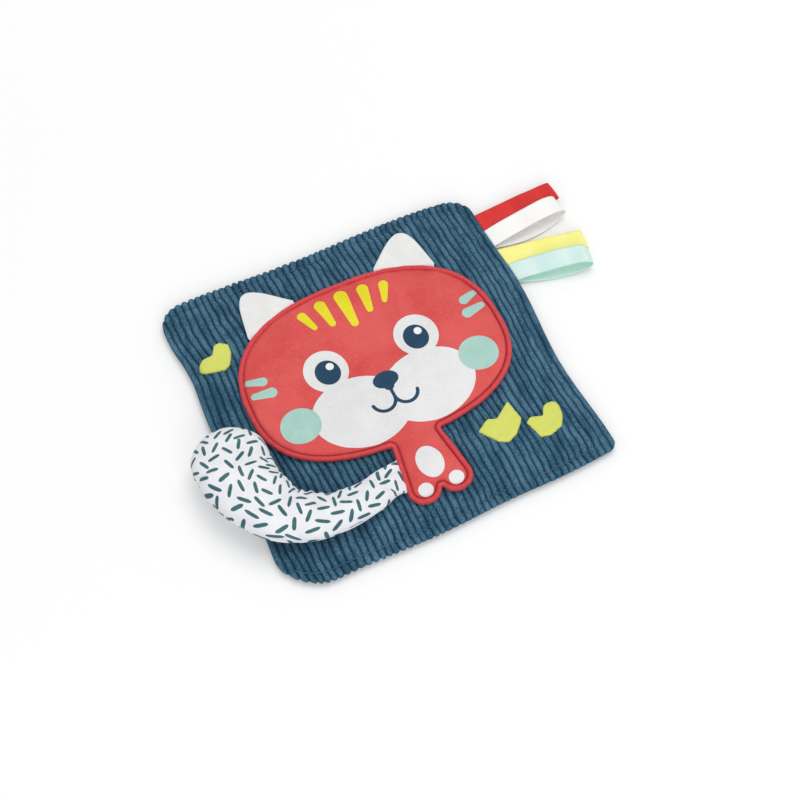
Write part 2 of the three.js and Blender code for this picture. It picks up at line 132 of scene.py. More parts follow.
def put_piece(name, points, faces, material, uv=None, fields=None, weld=False):
    """A smooth mesh from points in millimetres, with its place in the mesh. uv and fields are given
    per point and stored per face corner, so that a weld doesn't mix them."""
    mesh = bpy.data.meshes.new(name)
    listed = faces if isinstance(faces, list) else faces.tolist()
    mesh.from_pydata((np.asarray(points, float).reshape(-1, 3) * MM).tolist(), [], listed)
    corner = np.zeros(len(mesh.loops), np.int32)
    mesh.loops.foreach_get("vertex_index", corner)
    if uv is not None:
        layer = mesh.uv_layers.new(name="cloth")
        layer.data.foreach_set("uv", np.asarray(uv, np.float32).reshape(-1, 2)[corner].ravel())
    for key, values in (fields or {}).items():
        layer = mesh.attributes.new(key, "FLOAT", "CORNER")
        layer.data.foreach_set("value", np.asarray(values, np.float32).ravel()[corner])
    if weld:
        work = bmesh.new()
        work.from_mesh(mesh)
        bmesh.ops.remove_doubles(work, verts=work.verts, dist=WELD_REACH)
        bmesh.ops.recalc_face_normals(work, faces=work.faces)
        work.to_mesh(mesh)
        work.free()
    mesh.polygons.foreach_set("use_smooth", np.ones(len(mesh.polygons), bool))
    mesh.update()
    mesh.materials.append(material)
    return put_object(name, mesh)


# Arrays, curves and fields


def joined(*parts):
    """Arrays one after the other."""
    return np.concatenate(parts)


def together(*parts):
    """Arrays side by side along a new last direction, each repeated where the others are larger."""
    return np.stack(np.broadcast_arrays(*parts), -1)


def swell(x, y, length, seed):
    """A gentle uneven field of about -1 to 1: the sum of ten plane waves whose lengths are 0.65 to
    1.5 times the one given, each with its own direction and phase."""
    count, dice = 10, np.random.default_rng(seed)
    turn, phase = dice.uniform(0, FULL_TURN, (2, count))
    pitch = length * dice.uniform(0.65, 1.5, count)
    along = np.multiply.outer(x, np.cos(turn)) + np.multiply.outer(y, np.sin(turn))
    return np.sin(FULL_TURN * along / pitch + phase).sum(-1) / math.sqrt(count)


def ease(value, low, high):
    """0 below low and 1 above high, with a smooth step between."""
    share = np.clip((value - low) / (high - low), 0, 1)
    return share * share * (3 - 2 * share)


def peak(value, width, middle=0.0):
    """A smooth bump of 1 at the middle: e to the minus square of the distance over the width."""
    return np.exp(-((value - middle) / width) ** 2)


def signed_power(value, power):
    """A power that keeps the sign: on a cosine and a sine it flattens or fills out an oval."""
    return np.sign(value) * np.abs(value) ** power


def unit(rows):
    """Each row's direction."""
    return rows / np.linalg.norm(rows, axis=1)[:, None]


def run_along(line):
    """The distance along a line of points, from 0 at its first."""
    return joined([0], np.cumsum(np.linalg.norm(np.diff(line, axis=0), axis=1)))


def spaced(closed, count):
    """A number of points at equal distances along a line that ends where it starts."""
    run = run_along(closed)
    at = np.linspace(0, run[-1], count, endpoint=False)
    return np.stack([np.interp(at, run, closed[:, k]) for k in (0, 1)], -1)


def even_spacing(points, step):
    """A closed line of points at equal distances, near the step given."""
    ring = joined(points, points[:1])
    return spaced(ring, int(run_along(ring)[-1] / step))


def eased(line, passes, weight):
    """A closed line, each point averaged with its neighbours a number of times."""
    for _ in range(passes):
        line = (np.roll(line, 1, 0) + line * weight + np.roll(line, -1, 0)) / (weight + 2)
    return line


def directions(line):
    """The direction of a closed line at each of its points."""
    return unit(np.roll(line, -1, 0) - np.roll(line, 1, 0))


def in_parts(points):
    """Points in parts of about 2000, so that a table of distances stays small."""
    return np.array_split(points, max(1, len(points) // 2000))


# The pad's plan and heights, as in the CAD

PAD_HALF_WIDTH = 81.0
PAD_HALF_HEIGHT = 79.8
CORNER_RADII = {"top": (13.5, 13.0), "bottom": (23.5, 4.5)}
SEAM_HEIGHT = 2.6
CROWN_HEIGHT = 8.1
FLANGE_RISE = 1.9
FLANGE_DROP = 1.3
EDGE_ROUNDING = 2.0
STITCH_INSET = 5.0
STITCH_REACH = 1.9
STITCH_DIP = 0.75
CROWN_RUN = 34.0
BASE_RUN = 10.0
WALES = 50
WALE_DEPTH = 0.95


def side_reach(along, reach, sway, period, start, lean=0.0):
    """How far out a side lies: its reach with a slow sine wave and a lean along it."""
    return reach + sway * np.sin(FULL_TURN * (along - start) / period) + lean * along


def right_side(y):
    """The pad's right side, where the ribbons are sewn in, a little fuller at the red one."""
    fuller = 0.9 * ease(y, 36, 72)
    return side_reach(y, reach=81.0, sway=1.5, period=95.0, start=-3.0) + fuller


def left_side(y):
    """The pad's left side, under the tail, with a bulge below its upper corner and a hollow below
    the bulge."""
    bulge, hollow = 0.9 * peak(y, 9, 58), 0.4 * peak(y, 9, 36)
    return side_reach(y, reach=81.3, sway=0.9, period=75.0, start=-13.8) + bulge - hollow


def top_side(x):
    """The pad's top side, above the ears, which draws in towards its right corner."""
    return side_reach(x, reach=78.6, sway=0.6, period=100.0, start=-85.0) - 0.8 * ease(x, 50, 80)


def bottom_side(x):
    """The pad's bottom side, which leans a little and draws in towards its right corner."""
    drawn_in = 2.4 * ease(x, 38, 88)
    return side_reach(x, reach=80.6, sway=0.6, period=80.0, start=-30.0, lean=-0.022) - drawn_in


def corner_cut(x, radius_left, radius_right):
    """How far a rounded corner cuts back an end of the pad: its radius less a circle's height."""
    radius = np.where(x < 0, radius_left, radius_right)
    over = np.clip(np.abs(x) - (PAD_HALF_WIDTH - radius), 0, radius)
    return radius - np.sqrt(radius ** 2 - over ** 2)


def pad_ends(s):
    """Where the cloth ends at the top and the bottom of each wale. The wales run straight, and the
    rounded corners cut them off."""
    x = s * PAD_HALF_WIDTH
    return (top_side(x) - corner_cut(x, *CORNER_RADII["top"]),
            bottom_side(x) - corner_cut(x, *CORNER_RADII["bottom"]))


def pad_plan(s, t):
    """The plan of the pad at s, t from -1 to 1: up a wale from one end to the other, and across
    from side to side at that height."""
    top, bottom = pad_ends(s)
    y = ((1 + t) * top - (1 - t) * bottom) / 2
    return ((1 + s) * right_side(y) - (1 - s) * left_side(y)) / 2, y


def pad_parameters(x, y):
    """The s, t of points of the plan."""
    right, left = right_side(y), left_side(y)
    s = np.clip((2 * x + left - right) / (left + right), -1.2, 1.2)
    top, bottom = pad_ends(np.clip(s, -1, 1))
    return s, (2 * y + bottom - top) / (bottom + top)


def inside_by(s, t):
    """Distance inside the outline: the fourth-power mean that keeps near the smaller of two."""
    side = np.maximum((1 - np.abs(s)) * PAD_HALF_WIDTH, 1e-6)
    end = np.maximum((1 - np.abs(t)) * PAD_HALF_HEIGHT, 1e-6)
    return (side ** -4.0 + end ** -4.0) ** -0.25


def rounded_rim(d):
    """A quarter circle that rises from 0 at the outline to 1 at the edge's rounding."""
    return np.sqrt(1 - (1 - np.clip(d / EDGE_ROUNDING, 0, 1)) ** 2)


def levelling(share):
    """One less the cube of what is left: a rise that flattens out."""
    return 1 - (1 - np.clip(share, 0, 1)) ** 3


def pulled_in(d, reach=STITCH_REACH):
    """A smooth bump of 1 on the topstitching that ends at the reach to each side."""
    return np.maximum(0, 1 - ((d - STITCH_INSET) / reach) ** 2) ** 2


def crest(s, t):
    """Height of the wales' tops: seam, rounded rim, crown, less the topstitching's dip."""
    d = inside_by(s, t)
    rim = SEAM_HEIGHT + FLANGE_RISE * rounded_rim(d)
    crown = (CROWN_HEIGHT - SEAM_HEIGHT - FLANGE_RISE) * levelling((d - STITCH_INSET) / CROWN_RUN)
    return rim + crown - STITCH_DIP * pulled_in(d)


def underside(s, t):
    """Height of the back: seam, rounded rim, the drop to the surface it lies on, and the dip."""
    d = inside_by(s, t)
    drop = (SEAM_HEIGHT - FLANGE_DROP) * levelling((d - STITCH_INSET) / BASE_RUN)
    return SEAM_HEIGHT - FLANGE_DROP * rounded_rim(d) - drop + STITCH_DIP / 2 * pulled_in(d)


def crest_at(x, y):
    """Height of the wales' tops under a point of the plan."""
    return crest(*pad_parameters(x, y))


# Outlines of the applique

HEAD = {"y": 9.0, "half_width": 64.0, "half_height": 45.0, "power": 2.5, "cheek": 0.04}
BODY = {"neck": 11.5, "hip": 14.5, "neck_y": -30.0, "hip_y": -62.0}
PAW = {"x": 7.8, "y": -60.5, "half_width": 8.0, "half_height": 7.2}
OUTLINE_STEP = 0.5


def head_point(angle):
    """The head's outline: an oval of power 2.5, a little wider at the cheeks."""
    s, flatten = np.sin(angle), 2 / HEAD["power"]
    x = HEAD["half_width"] * signed_power(np.cos(angle), flatten)
    y = HEAD["half_height"] * signed_power(s, flatten)
    return together(x * (1 - HEAD["cheek"] * s), HEAD["y"] + y)


def body_half_width(y):
    """The body widens evenly from the neck to the hips."""
    widening = BODY["hip"] - BODY["neck"]
    return BODY["neck"] + (BODY["neck_y"] - y) * widening / (BODY["neck_y"] - BODY["hip_y"])


def applique_outline():
    """The outline of head, body and paws, anticlockwise: each curve kept where it lies outside the
    others, its corners eased by a short running mean."""
    angle = np.linspace(0, FULL_TURN, 2000, endpoint=False)
    head = head_point(angle)
    under = (head[:, 1] < HEAD["y"]) & (np.abs(head[:, 0]) < body_half_width(head[:, 1]))
    first, last = np.flatnonzero(under)[[0, -1]]
    x = PAW["x"] + PAW["half_width"] * np.cos(angle)
    y = PAW["y"] + PAW["half_height"] * np.sin(angle)
    past_body = (x > body_half_width(y)) | (y < BODY["hip_y"])
    right_paw = together(x, y)[(x > 0) & (y < PAW["y"] + 1) & past_body]
    off = right_paw - [PAW["x"], PAW["y"]]
    right_paw = right_paw[np.argsort(np.arctan2(off[:, 1], off[:, 0]))]
    left_paw = right_paw[::-1] * [-1, 1]
    whole = joined(head[:first], left_paw, right_paw, head[last + 1:])
    return even_spacing(eased(even_spacing(whole, OUTLINE_STEP), 3, 2), OUTLINE_STEP)


def inside_line(x, y, line):
    """Distance inside a closed anticlockwise line, negative outside it: the nearest of its straight
    stretches, with the side that the point is on."""
    run = np.roll(line, -1, 0) - line
    found = []
    for part in in_parts(together(np.ravel(x), np.ravel(y))):
        off = part[:, None] - line[None]
        share = np.clip((off * run).sum(-1) / (run * run).sum(-1), 0, 1)
        gap = off - share[..., None] * run
        square = (gap * gap).sum(-1)
        nearest = square.argmin(1)
        pick = np.arange(len(part)), nearest
        side = run[nearest, 0] * off[pick][:, 1] - run[nearest, 1] * off[pick][:, 0]
        found.append(np.sqrt(square[pick]) * np.sign(side))
    return np.concatenate(found).reshape(np.shape(x))


OUTLINE = applique_outline()


# Node helpers and effects


def colour(code):
    """The linear colour of a screen colour."""
    parts = [int(code[k:k + 2], 16) / 255 for k in (1, 3, 5)]
    linear = [c / 12.92 if c <= 0.04045 else ((c + 0.055) / 1.055) ** 2.4 for c in parts]
    return (*linear, 1.0)


def feed(tree, socket, value):
    """Puts a value on a socket, or joins another node's output to it."""
    if isinstance(value, bpy.types.NodeSocket):
        tree.links.new(value, socket)
    elif value is not None:
        socket.default_value = value


def add(tree, kind, *values, **settings):
    """A node with its settings and its first inputs, where None leaves an input as it is."""
    made = tree.nodes.new(kind)
    set_all(made, **settings)
    for socket, value in zip(made.inputs, values):
        feed(tree, socket, value)
    return made


def calc(tree, operation, *values):
    """The output of a Math node."""
    return add(tree, "ShaderNodeMath", *values, operation=operation).outputs[0]


def times(tree, first, second):
    """The product of two values."""
    return calc(tree, "MULTIPLY", first, second)


def plus(tree, first, second):
    """The sum of two values."""
    return calc(tree, "ADD", first, second)


def between(tree, value, low, high, start=0.0, end=1.0):
    """A value mapped smoothly from one range to another."""
    made = add(tree, "ShaderNodeMapRange", value, low, high, start, end,
               interpolation_type="SMOOTHSTEP")
    return made.outputs[0]


def mixed(tree, factor, first, second):
    """A colour between two colours."""
    made = add(tree, "ShaderNodeMix", data_type="RGBA")
    for place, value in zip((0, 6, 7), (factor, first, second)):
        feed(tree, made.inputs[place], value)
    return made.outputs[2]


def toned(tree, shade, dark, light):
    """A colour between two screen colours."""
    return mixed(tree, shade, colour(dark), colour(light))


def noise(tree, place, scale, detail, rough=0.5):
    """The value of a Noise texture."""
    made = add(tree, "ShaderNodeTexNoise", place)
    feed(tree, made.inputs["Scale"], scale)
    set_inputs(made, {"Detail": detail, "Roughness": rough})
    return made.outputs["Fac"]


def set_inputs(node, values):
    """Sets constants on a node's own sockets."""
    for key, value in values.items():
        node.inputs[key].default_value = value


def effect(name, inputs):
    """An empty node group that takes a place and float inputs, each a name and a value, and gives a
    shade and a height."""
    tree = bpy.data.node_groups.new(name, "ShaderNodeTree")
    tree.interface.new_socket(name="Place", in_out="INPUT", socket_type="NodeSocketVector")
    for key, value in inputs.items():
        socket = tree.interface.new_socket(name=key, in_out="INPUT", socket_type="NodeSocketFloat")
        socket.default_value = value
    for key in ("Shade", "Height"):
        tree.interface.new_socket(name=key, in_out="OUTPUT", socket_type="NodeSocketFloat")
    return tree, tree.nodes.new("NodeGroupInput").outputs, tree.nodes.new("NodeGroupOutput").inputs


def use(tree, group, **values):
    """Places an effect in a material with its own values."""
    made = tree.nodes.new("ShaderNodeGroup")
    made.node_tree = group
    for key, value in values.items():
        feed(tree, made.inputs[key], value)
    return made.outputs


def make_pile():
    """Cut pile: fine tufts, and broad patches where the nap lies another way. Its shade is 0.55 of
    the tufts and 0.45 of the patches."""
    tree, given, out = effect("cut_pile", {"Tufts": 1500.0, "Patches": 60.0})
    tufts = noise(tree, given["Place"], given["Tufts"], 3, 0.65)
    patches = noise(tree, given["Place"], given["Patches"], 3, 0.55)
    feed(tree, out["Height"], tufts)
    shade = plus(tree, times(tree, tufts, 0.55), times(tree, patches, 0.45))
    feed(tree, out["Shade"], between(tree, shade, 0.4, 0.6))
    return tree


def make_weave():
    """Plain weave: half the product of two sine waves, with the threads' own unevenness, and a soft
    shade in patches about 11 mm wide."""
    tree, given, out = effect("plain_weave", {"Threads": 2500.0})
    apart = add(tree, "ShaderNodeSeparateXYZ", given["Place"]).outputs
    turns = [times(tree, times(tree, apart[k], given["Threads"]), math.pi) for k in (0, 1)]
    cross = times(tree, *(calc(tree, "SINE", turn) for turn in turns))
    uneven = noise(tree, given["Place"], times(tree, given["Threads"], 0.3), 2)
    feed(tree, out["Height"], plus(tree, times(tree, cross, 0.5), uneven))
    feed(tree, out["Shade"], between(tree, noise(tree, given["Place"], 90.0, 3, 0.6), 0.3, 0.7))
    return tree


def make_threads():
    """Satin stitches lying side by side: rounded ridges across a run of given pitch, which stray by
    up to a quarter of a millimetre, each stitch with a shade and height of its own. The shade is
    also lighter on each ridge and darker between the stitches: painted highlight and painted shade."""
    tree, given, out = effect("satin_threads", {"Pitch": 0.00045})
    apart = add(tree, "ShaderNodeSeparateXYZ", given["Place"]).outputs
    wander = calc(tree, "SUBTRACT", noise(tree, given["Place"], 700.0, 2), 0.5)
    stray = times(tree, wander, 0.0005)
    run = calc(tree, "DIVIDE", plus(tree, apart[0], stray), given["Pitch"])
    ridge = calc(tree, "ABSOLUTE", calc(tree, "SINE", times(tree, run, math.pi)))
    stitch = calc(tree, "FLOOR", run)
    own = add(tree, "ShaderNodeTexWhiteNoise", None, stitch, noise_dimensions="1D").outputs["Value"]
    feed(tree, out["Height"], plus(tree, ridge, times(tree, own, 0.3)))
    # Painted highlight on each ridge and painted shade between the stitches, with each stitch's own
    # tone.
    feed(tree, out["Shade"], plus(tree, times(tree, ridge, 0.6), times(tree, own, 0.4)))
    return tree


CUT_PILE = make_pile()
PLAIN_WEAVE = make_weave()
SATIN_THREADS = make_threads()


# Materials


def finish(name, tint, height, depth, roughness, specular, sheen=0.0, sheen_tint="#FFFFFF",
           glow=0.0):
    """Ends a material: a Principled shader with a bump from a height, and constants on its sockets.
    Tint and height are functions that are given the material's tree and return a socket, and glow
    is how much light goes through thin cloth."""
    material = bpy.data.materials.new(name)
    material.use_nodes = True
    tree = material.node_tree
    shader = tree.nodes["Principled BSDF"]
    feed(tree, shader.inputs["Base Color"], tint(tree))
    set_inputs(shader, {
        "Roughness": roughness, "Specular IOR Level": specular,
        "Sheen Weight": sheen, "Sheen Roughness": 0.4, "Sheen Tint": colour(sheen_tint),
        "Subsurface Weight": glow, "Subsurface Radius": (1, 1, 1), "Subsurface Scale": 0.002,
    })
    bump = add(tree, "ShaderNodeBump")
    set_inputs(bump, {"Strength": 1.0, "Distance": depth})
    feed(tree, bump.inputs["Height"], height(tree))
    feed(tree, shader.inputs["Normal"], bump.outputs[0])
    return material


def two_toned(name, pattern, dark, light, depth, **look):
    """A material that goes from dark to light by a pattern's shade, with a bump of its height."""
    return finish(name, lambda tree: toned(tree, pattern(tree)["Shade"], dark, light),
                  lambda tree: pattern(tree)["Height"], depth, **look)


def same_for_both(value):
    """A pattern whose tone follows its height: painted shade in its low parts and painted highlight
    on its high parts.
    """
    return {"Shade": value, "Height": value}


def object_place(tree):
    """Object coordinates, which are the CAD's frame in metres."""
    return add(tree, "ShaderNodeTexCoord").outputs["Object"]


def cloth_place(tree):
    """The piece's own map, in metres of cloth."""
    return add(tree, "ShaderNodeUVMap", uv_map="cloth").outputs[0]


def field(tree, name):
    """A number stored on the piece's face corners."""
    return add(tree, "ShaderNodeAttribute", attribute_name=name).outputs["Fac"]


def stretched(tree, place, x, y):
    """Coordinates scaled by an amount along each of the first two directions."""
    scaled = add(tree, "ShaderNodeVectorMath", place, (x, y, 1.0), operation="MULTIPLY")
    return scaled.outputs[0]


def corduroy():
    """Blue corduroy with a cut pile: painted highlight on the wales' crests, painted shade in the
    grooves.
    """
    def pile(tree):
        drawn_out = stretched(tree, object_place(tree), 1, 0.5)
        return use(tree, CUT_PILE, Place=drawn_out, Tufts=1700.0, Patches=130.0)

    def tint(tree):
        # Painted shade and highlight: dark tones for the grooves and light tones for the crests of
        # the wales, mixed by the wale field.
        low = toned(tree, pile(tree)["Shade"], "#123448", "#20465B")
        high = toned(tree, pile(tree)["Shade"], "#2D5268", "#567C94")
        return mixed(tree, between(tree, field(tree, "wale"), 0.1, 0.95), low, high)

    return finish("corduroy_pile", tint, lambda tree: pile(tree)["Height"], 0.0003,
                  roughness=0.95, specular=0.1, sheen=0.35, sheen_tint="#8FB4CC")


def print_edge(tree, name):
    """1 inside a printed patch and 0 outside, from the stored distance in millimetres."""
    return between(tree, field(tree, name), 0.1, -0.1)


PRINT_INKS = {
    "white_print": ("#DCDDDD", "#EAEAEA"),
    "mint_print": ("#9BC5BA", "#B1D5CB"),
    "yellow_print": ("#E0D328", "#EBDF38"),
    "navy_print": ("#24425A", "#2E4F69"),
    "glint_print": ("#ECECEC", "#F6F6F6"),
}


def printed_velour():
    """Coral velour with the animal's face printed on it in white, mint, yellow and navy, and a dark
    line of painted shade in the groove where it dives under the border, fainter at the top of the
    head."""
    def pile(tree):
        return use(tree, CUT_PILE, Place=object_place(tree), Tufts=2200.0, Patches=45.0)

    def tint(tree):
        shade = pile(tree)["Shade"]
        paint = toned(tree, shade, "#D04D4B", "#E1615F")
        for name, (dark, light) in PRINT_INKS.items():
            paint = mixed(tree, print_edge(tree, name), paint, toned(tree, shade, dark, light))
        # Painted shade: a deep red line in the groove beside the border, faded at the top of the
        # head.
        near_border = between(tree, field(tree, "groove_shade_gap"), 0.2, 0.85, 0.8, 0.0)
        return mixed(tree, near_border, paint, colour("#9A2733"))

    return finish("printed_velour", tint, lambda tree: pile(tree)["Height"], 0.00018,
                  roughness=0.9, specular=0.12, sheen=0.25, sheen_tint="#FFDAD6")


def threads(name, dark, light, pitch=0.00045):
    """Embroidery thread in close satin stitches across the piece's own map."""
    def rows(tree):
        return use(tree, SATIN_THREADS, Place=cloth_place(tree), Pitch=pitch)

    return two_toned(name, rows, dark, light, 0.00012, roughness=0.48, specular=0.4, sheen=0.1)


def cotton_weave(tree):
    """Plain weave on the piece's own map."""
    return use(tree, PLAIN_WEAVE, Place=cloth_place(tree), Threads=2600.0)


def dashed_cotton():
    """White cotton with teal dashes printed on it."""
    def tint(tree):
        ground = toned(tree, cotton_weave(tree)["Shade"], "#E6E7EC", "#F0F0F5")
        ink = toned(tree, cotton_weave(tree)["Shade"], "#346067", "#467377")
        return mixed(tree, print_edge(tree, "dash_print"), ground, ink)

    return finish("dashed_cotton", tint, lambda tree: cotton_weave(tree)["Height"], 0.00008,
                  roughness=0.82, specular=0.22, sheen=0.08)


def satin_ribbon(name, dark, light, roughness, glow):
    """Satin ribbon: fine ribs across it, a soft gloss on its face, and a firmer woven line along
    each edge."""
    def parts(tree):
        place = cloth_place(tree)
        off_middle = calc(tree, "ABSOLUTE", add(tree, "ShaderNodeSeparateXYZ", place).outputs[0])
        weave = use(tree, PLAIN_WEAVE, Place=stretched(tree, place, 0.35, 1.0), Threads=3400.0)
        return weave, between(tree, off_middle, 0.0042, 0.0046)

    def tint(tree):
        weave, edge = parts(tree)
        base = toned(tree, weave["Shade"], dark, light)
        return mixed(tree, times(tree, edge, 0.35), base, colour(dark))

    def height(tree):
        weave, edge = parts(tree)
        return plus(tree, weave["Height"], edge)

    return finish(name, tint, height, 0.00006, roughness=roughness, specular=0.2, glow=glow)


def ribbon_satins(word, dark, light, lightened_inside_dark, lightened_inside_light):
    """A ribbon's glossy face, its duller inside, and the inside of its upper layer, which the light
    above shines through. Both insides are painted a lighter tone than the face, painted light
    against the shade inside the loop."""
    return [satin_ribbon(word + "_satin", dark, light, 0.45, 0.0),
            satin_ribbon(word + "_satin_inside_lightened", lightened_inside_dark, lightened_inside_light, 0.7, 0.0),
            satin_ribbon(word + "_satin_lit_through", lightened_inside_dark, lightened_inside_light, 0.7, 1.0)]


def twisted_strands(tree):
    """Twisted sewing thread, its strands shown by a slanting wave along each stitch, which also
    paints them lighter on the strands and darker between them as painted highlight and shade.
    """
    return same_for_both(add(tree, "ShaderNodeTexWave", cloth_place(tree), 900.0, 1.5,
                             bands_direction="DIAGONAL").outputs["Fac"])


def film_creases(tree):
    """Sharp creases all over a thin film: the distance to the nearest of many points, which also
    tints the film lighter on the creases as painted highlight and darker between them as painted
    shade.
    """
    return same_for_both(add(tree, "ShaderNodeTexVoronoi", object_place(tree), None, 120.0,
                             feature="F1").outputs["Distance"])


CORDUROY = corduroy()
VELOUR = printed_velour()
BORDER = threads("border_stitches", "#C93239", "#E4484D")
HEART = threads("heart_stitches", "#D2D85A", "#E0E66E", 0.0005)
EAR = two_toned("ear_cotton", cotton_weave, "#E4E4E3", "#EDEDEC", 0.00008,
                roughness=0.85, specular=0.2, sheen=0.1)
TAIL = dashed_cotton()
# Each ribbon's face colours, then its inside colours, which are painted lighter than the face as
# painted light against the shade inside the loop.
RIBBONS = {
    "red": ribbon_satins("red", "#CE2A27", "#DC3531", "#D63A36", "#E04540"),
    "white": ribbon_satins("white", "#F5F4F3", "#F9F9F8", "#FFFFFF", "#FFFFFF"),
    "yellow": ribbon_satins("yellow", "#F9F286", "#FBF79A", "#FFFC90", "#FFFEA4"),
    "mint": ribbon_satins("mint", "#CBE8E2", "#DCF2ED", "#D2FAF0", "#E0FEF7"),
}
PAD_THREAD = two_toned("pad_thread", twisted_strands, "#25506B", "#4A748E", 0.00006,
                       roughness=0.6, specular=0.3)
FILM = two_toned("crackling_film", film_creases, "#C3CCD4", "#DDE3E8", 0.0005,
                 roughness=0.2, specular=0.5)


# Pad

RIM_STEPS = np.array([0, 0.25, 0.7, 1.3, 2, 2.9, 3.8, 4.4, 5, 5.6, 6.2, 7.2, 8.6, 10.2])
INNER_START = 11.8
INNER_STEP = 1.6
SEAM_PINCH = 0.55
PINCH_REACH = 0.22


def wale_columns():
    """Stations across the pad: six to each wale, closest beside its grooves."""
    within = np.array([0, 0.11, 0.28, 0.5, 0.72, 0.89])
    run = (np.arange(WALES)[:, None] + within).ravel()
    return np.append(run, WALES) * 2 / WALES - 1


def pad_rows():
    """Stations up the pad: close together at the rim and the topstitching, then 1.6 mm apart."""
    inner = PAD_HALF_HEIGHT - INNER_START
    middle = np.linspace(-inner, inner, int(2 * inner / INNER_STEP))
    rim = PAD_HALF_HEIGHT - RIM_STEPS
    return joined(-rim, middle, rim[::-1]) / PAD_HALF_HEIGHT


def corduroy_side(front):
    """One side of the cover: the CAD's crest or underside with rounded wales sunk into it, a slow
    swell, puckers beside the topstitching, and wales that wander a little and bulge at the rim."""
    s, t = np.meshgrid(wale_columns(), pad_rows(), indexing="ij")
    x, y = pad_plan(s, t)
    d = inside_by(s, t)
    from_side, from_end = (1 - np.abs(s)) * PAD_HALF_WIDTH, (1 - np.abs(t)) * PAD_HALF_HEIGHT
    wale = np.abs(np.sin(np.pi * WALES * (s + 1) / 2)) ** 0.85
    own = np.clip(1.02 - 0.18 * s + 0.34 * swell(s * 110, t * 28, 13, 5), 0.3, 1.7)
    lively = np.where(t < 0, 1 - 0.72 * ease(x, -35, 15), 1)
    y = y + np.sign(t) * 0.95 * lively * own * (wale - 0.6) * peak(from_end, 2.6)
    wander = 0.42 * swell(x, y * 0.6, 30, 11) + 0.2 * swell(x * 0.8, y, 9, 13)
    x = x + wander * ease(from_side, 0, 6)
    x = x - np.sign(s) * SEAM_PINCH * peak(from_side, PINCH_REACH)
    y = y - np.sign(t) * SEAM_PINCH * peak(from_end, PINCH_REACH)
    fade = np.clip(d / EDGE_ROUNDING, 0, 1)
    groove = WALE_DEPTH * own * (1 - wale) * fade + 0.1 * swell(x, y * 0.7, 5, 29) * ease(d, 1, 4)
    pucker = swell(x, y, 10, 23) * (0.36 * pulled_in(d, 9.0) + 0.3 * peak(d, 2.5, 2)) * fade
    if front:
        press = 0.5 * peak(inside_line(x, y, OUTLINE), 3.0)
        uneven = 0.25 * swell(x, y, 34, 31) - press
        z = crest(s, t) - groove + pucker + uneven * ease(d, 3, 12)
    else:
        lift = np.maximum(0, 1 + swell(x, y, 30, 37)) * ease(d, 3, 7) * (1 - ease(d, 10, 17))
        z = underside(s, t) + np.maximum(groove, 0) + 0.5 * np.abs(pucker) + 0.2 * lift
    return together(x, y, z), wale


def corduroy_cover():
    """Front and back in corduroy, joined at the seam into one closed pad."""
    (top, wale), (bottom, below) = corduroy_side(True), corduroy_side(False)
    rows, columns = top.shape[:2]
    faces = grid_faces(rows, columns)
    points = joined(top.reshape(-1, 3), bottom.reshape(-1, 3))
    both = joined(faces, faces[:, ::-1] + rows * columns)
    fields = {"wale": joined(wale.ravel(), below.ravel())}
    cover = put_piece("corduroy_pad", points, both, CORDUROY, fields=fields, weld=True)
    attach(cover, "pad")
    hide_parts("front_panel", "back_panel", "wadding")


# Stitches

STITCH_SPACING = 3.4
STITCH_LENGTH = 2.9
STITCH_RADIUS = 0.32
STITCH_SINK = 0.1


def stitch_mesh(name, middles, runs, rises, material):
    """Stitches as short bent rods: each is a tube of six faces round and four along, thin at its
    ends, that lies on its middle and dips into the cloth at both ends."""
    along = np.linspace(-1, 1, 5)
    around = np.linspace(0, FULL_TURN, 6, endpoint=False)
    thick = STITCH_RADIUS * (0.45 + 0.55 * np.sqrt(1 - (0.98 * along) ** 2))
    drop = -1.3 * STITCH_RADIUS * along ** 2
    run = along * STITCH_LENGTH / 2
    side = np.cross(rises, runs)
    shape = (middles[:, None, None]
             + runs[:, None, None] * run[None, :, None, None]
             + side[:, None, None] * (thick[:, None] * np.cos(around))[None, :, :, None]
             + rises[:, None, None] * (drop[:, None] + thick[:, None] * np.sin(around))[..., None])
    at = np.arange(shape[..., 0].size).reshape(shape.shape[:3])
    caps = at[:, 0][:, ::-1].tolist() + at[:, -1].tolist()
    place = together(run[:, None] * MM, around * STITCH_RADIUS * MM)
    uv = np.broadcast_to(place, at.shape + (2,))
    return put_piece(name, shape, ring_faces(at) + caps, material, uv=uv, weld=True)


def pad_stitch_line(front):
    """The topstitching's line, its direction and the cloth's normal, at even steps. It lies 5 mm
    inside by the fourth-power mean, so it rounds the corners."""
    corner = STITCH_INSET * 2 ** 0.25
    deep = joined(np.linspace(80, 13, 140), np.geomspace(12.5, corner, 30))
    shallow = (STITCH_INSET ** -4.0 - deep ** -4.0) ** -0.25
    from_side, from_end = joined(shallow, deep[::-1]), joined(deep, shallow[::-1])
    s, t = 1 - from_side / PAD_HALF_WIDTH, 1 - from_end / PAD_HALF_HEIGHT
    s, t = joined(s, -s[::-1], -s, s[::-1]), joined(t, t[::-1], -t, -t[::-1])
    line = even_spacing(together(*pad_plan(s, t)), STITCH_SPACING)
    height, out = (crest, 1.0) if front else (underside, -1.0)
    z = height(*pad_parameters(line[:, 0], line[:, 1]))
    middles = np.column_stack([line, z - STITCH_SINK * out])
    runs = directions(middles)
    up = np.array([0, 0, out])
    return middles, runs, unit(up - (runs @ up)[:, None] * runs)


def topstitching():
    """A row of stitches all round, 5 mm inside the edge, on both sides of the pad."""
    for name, front in (("topstitching_front", True), ("topstitching_back", False)):
        row = stitch_mesh(name, *pad_stitch_line(front), PAD_THREAD)
        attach(row, "pad")


# Applique

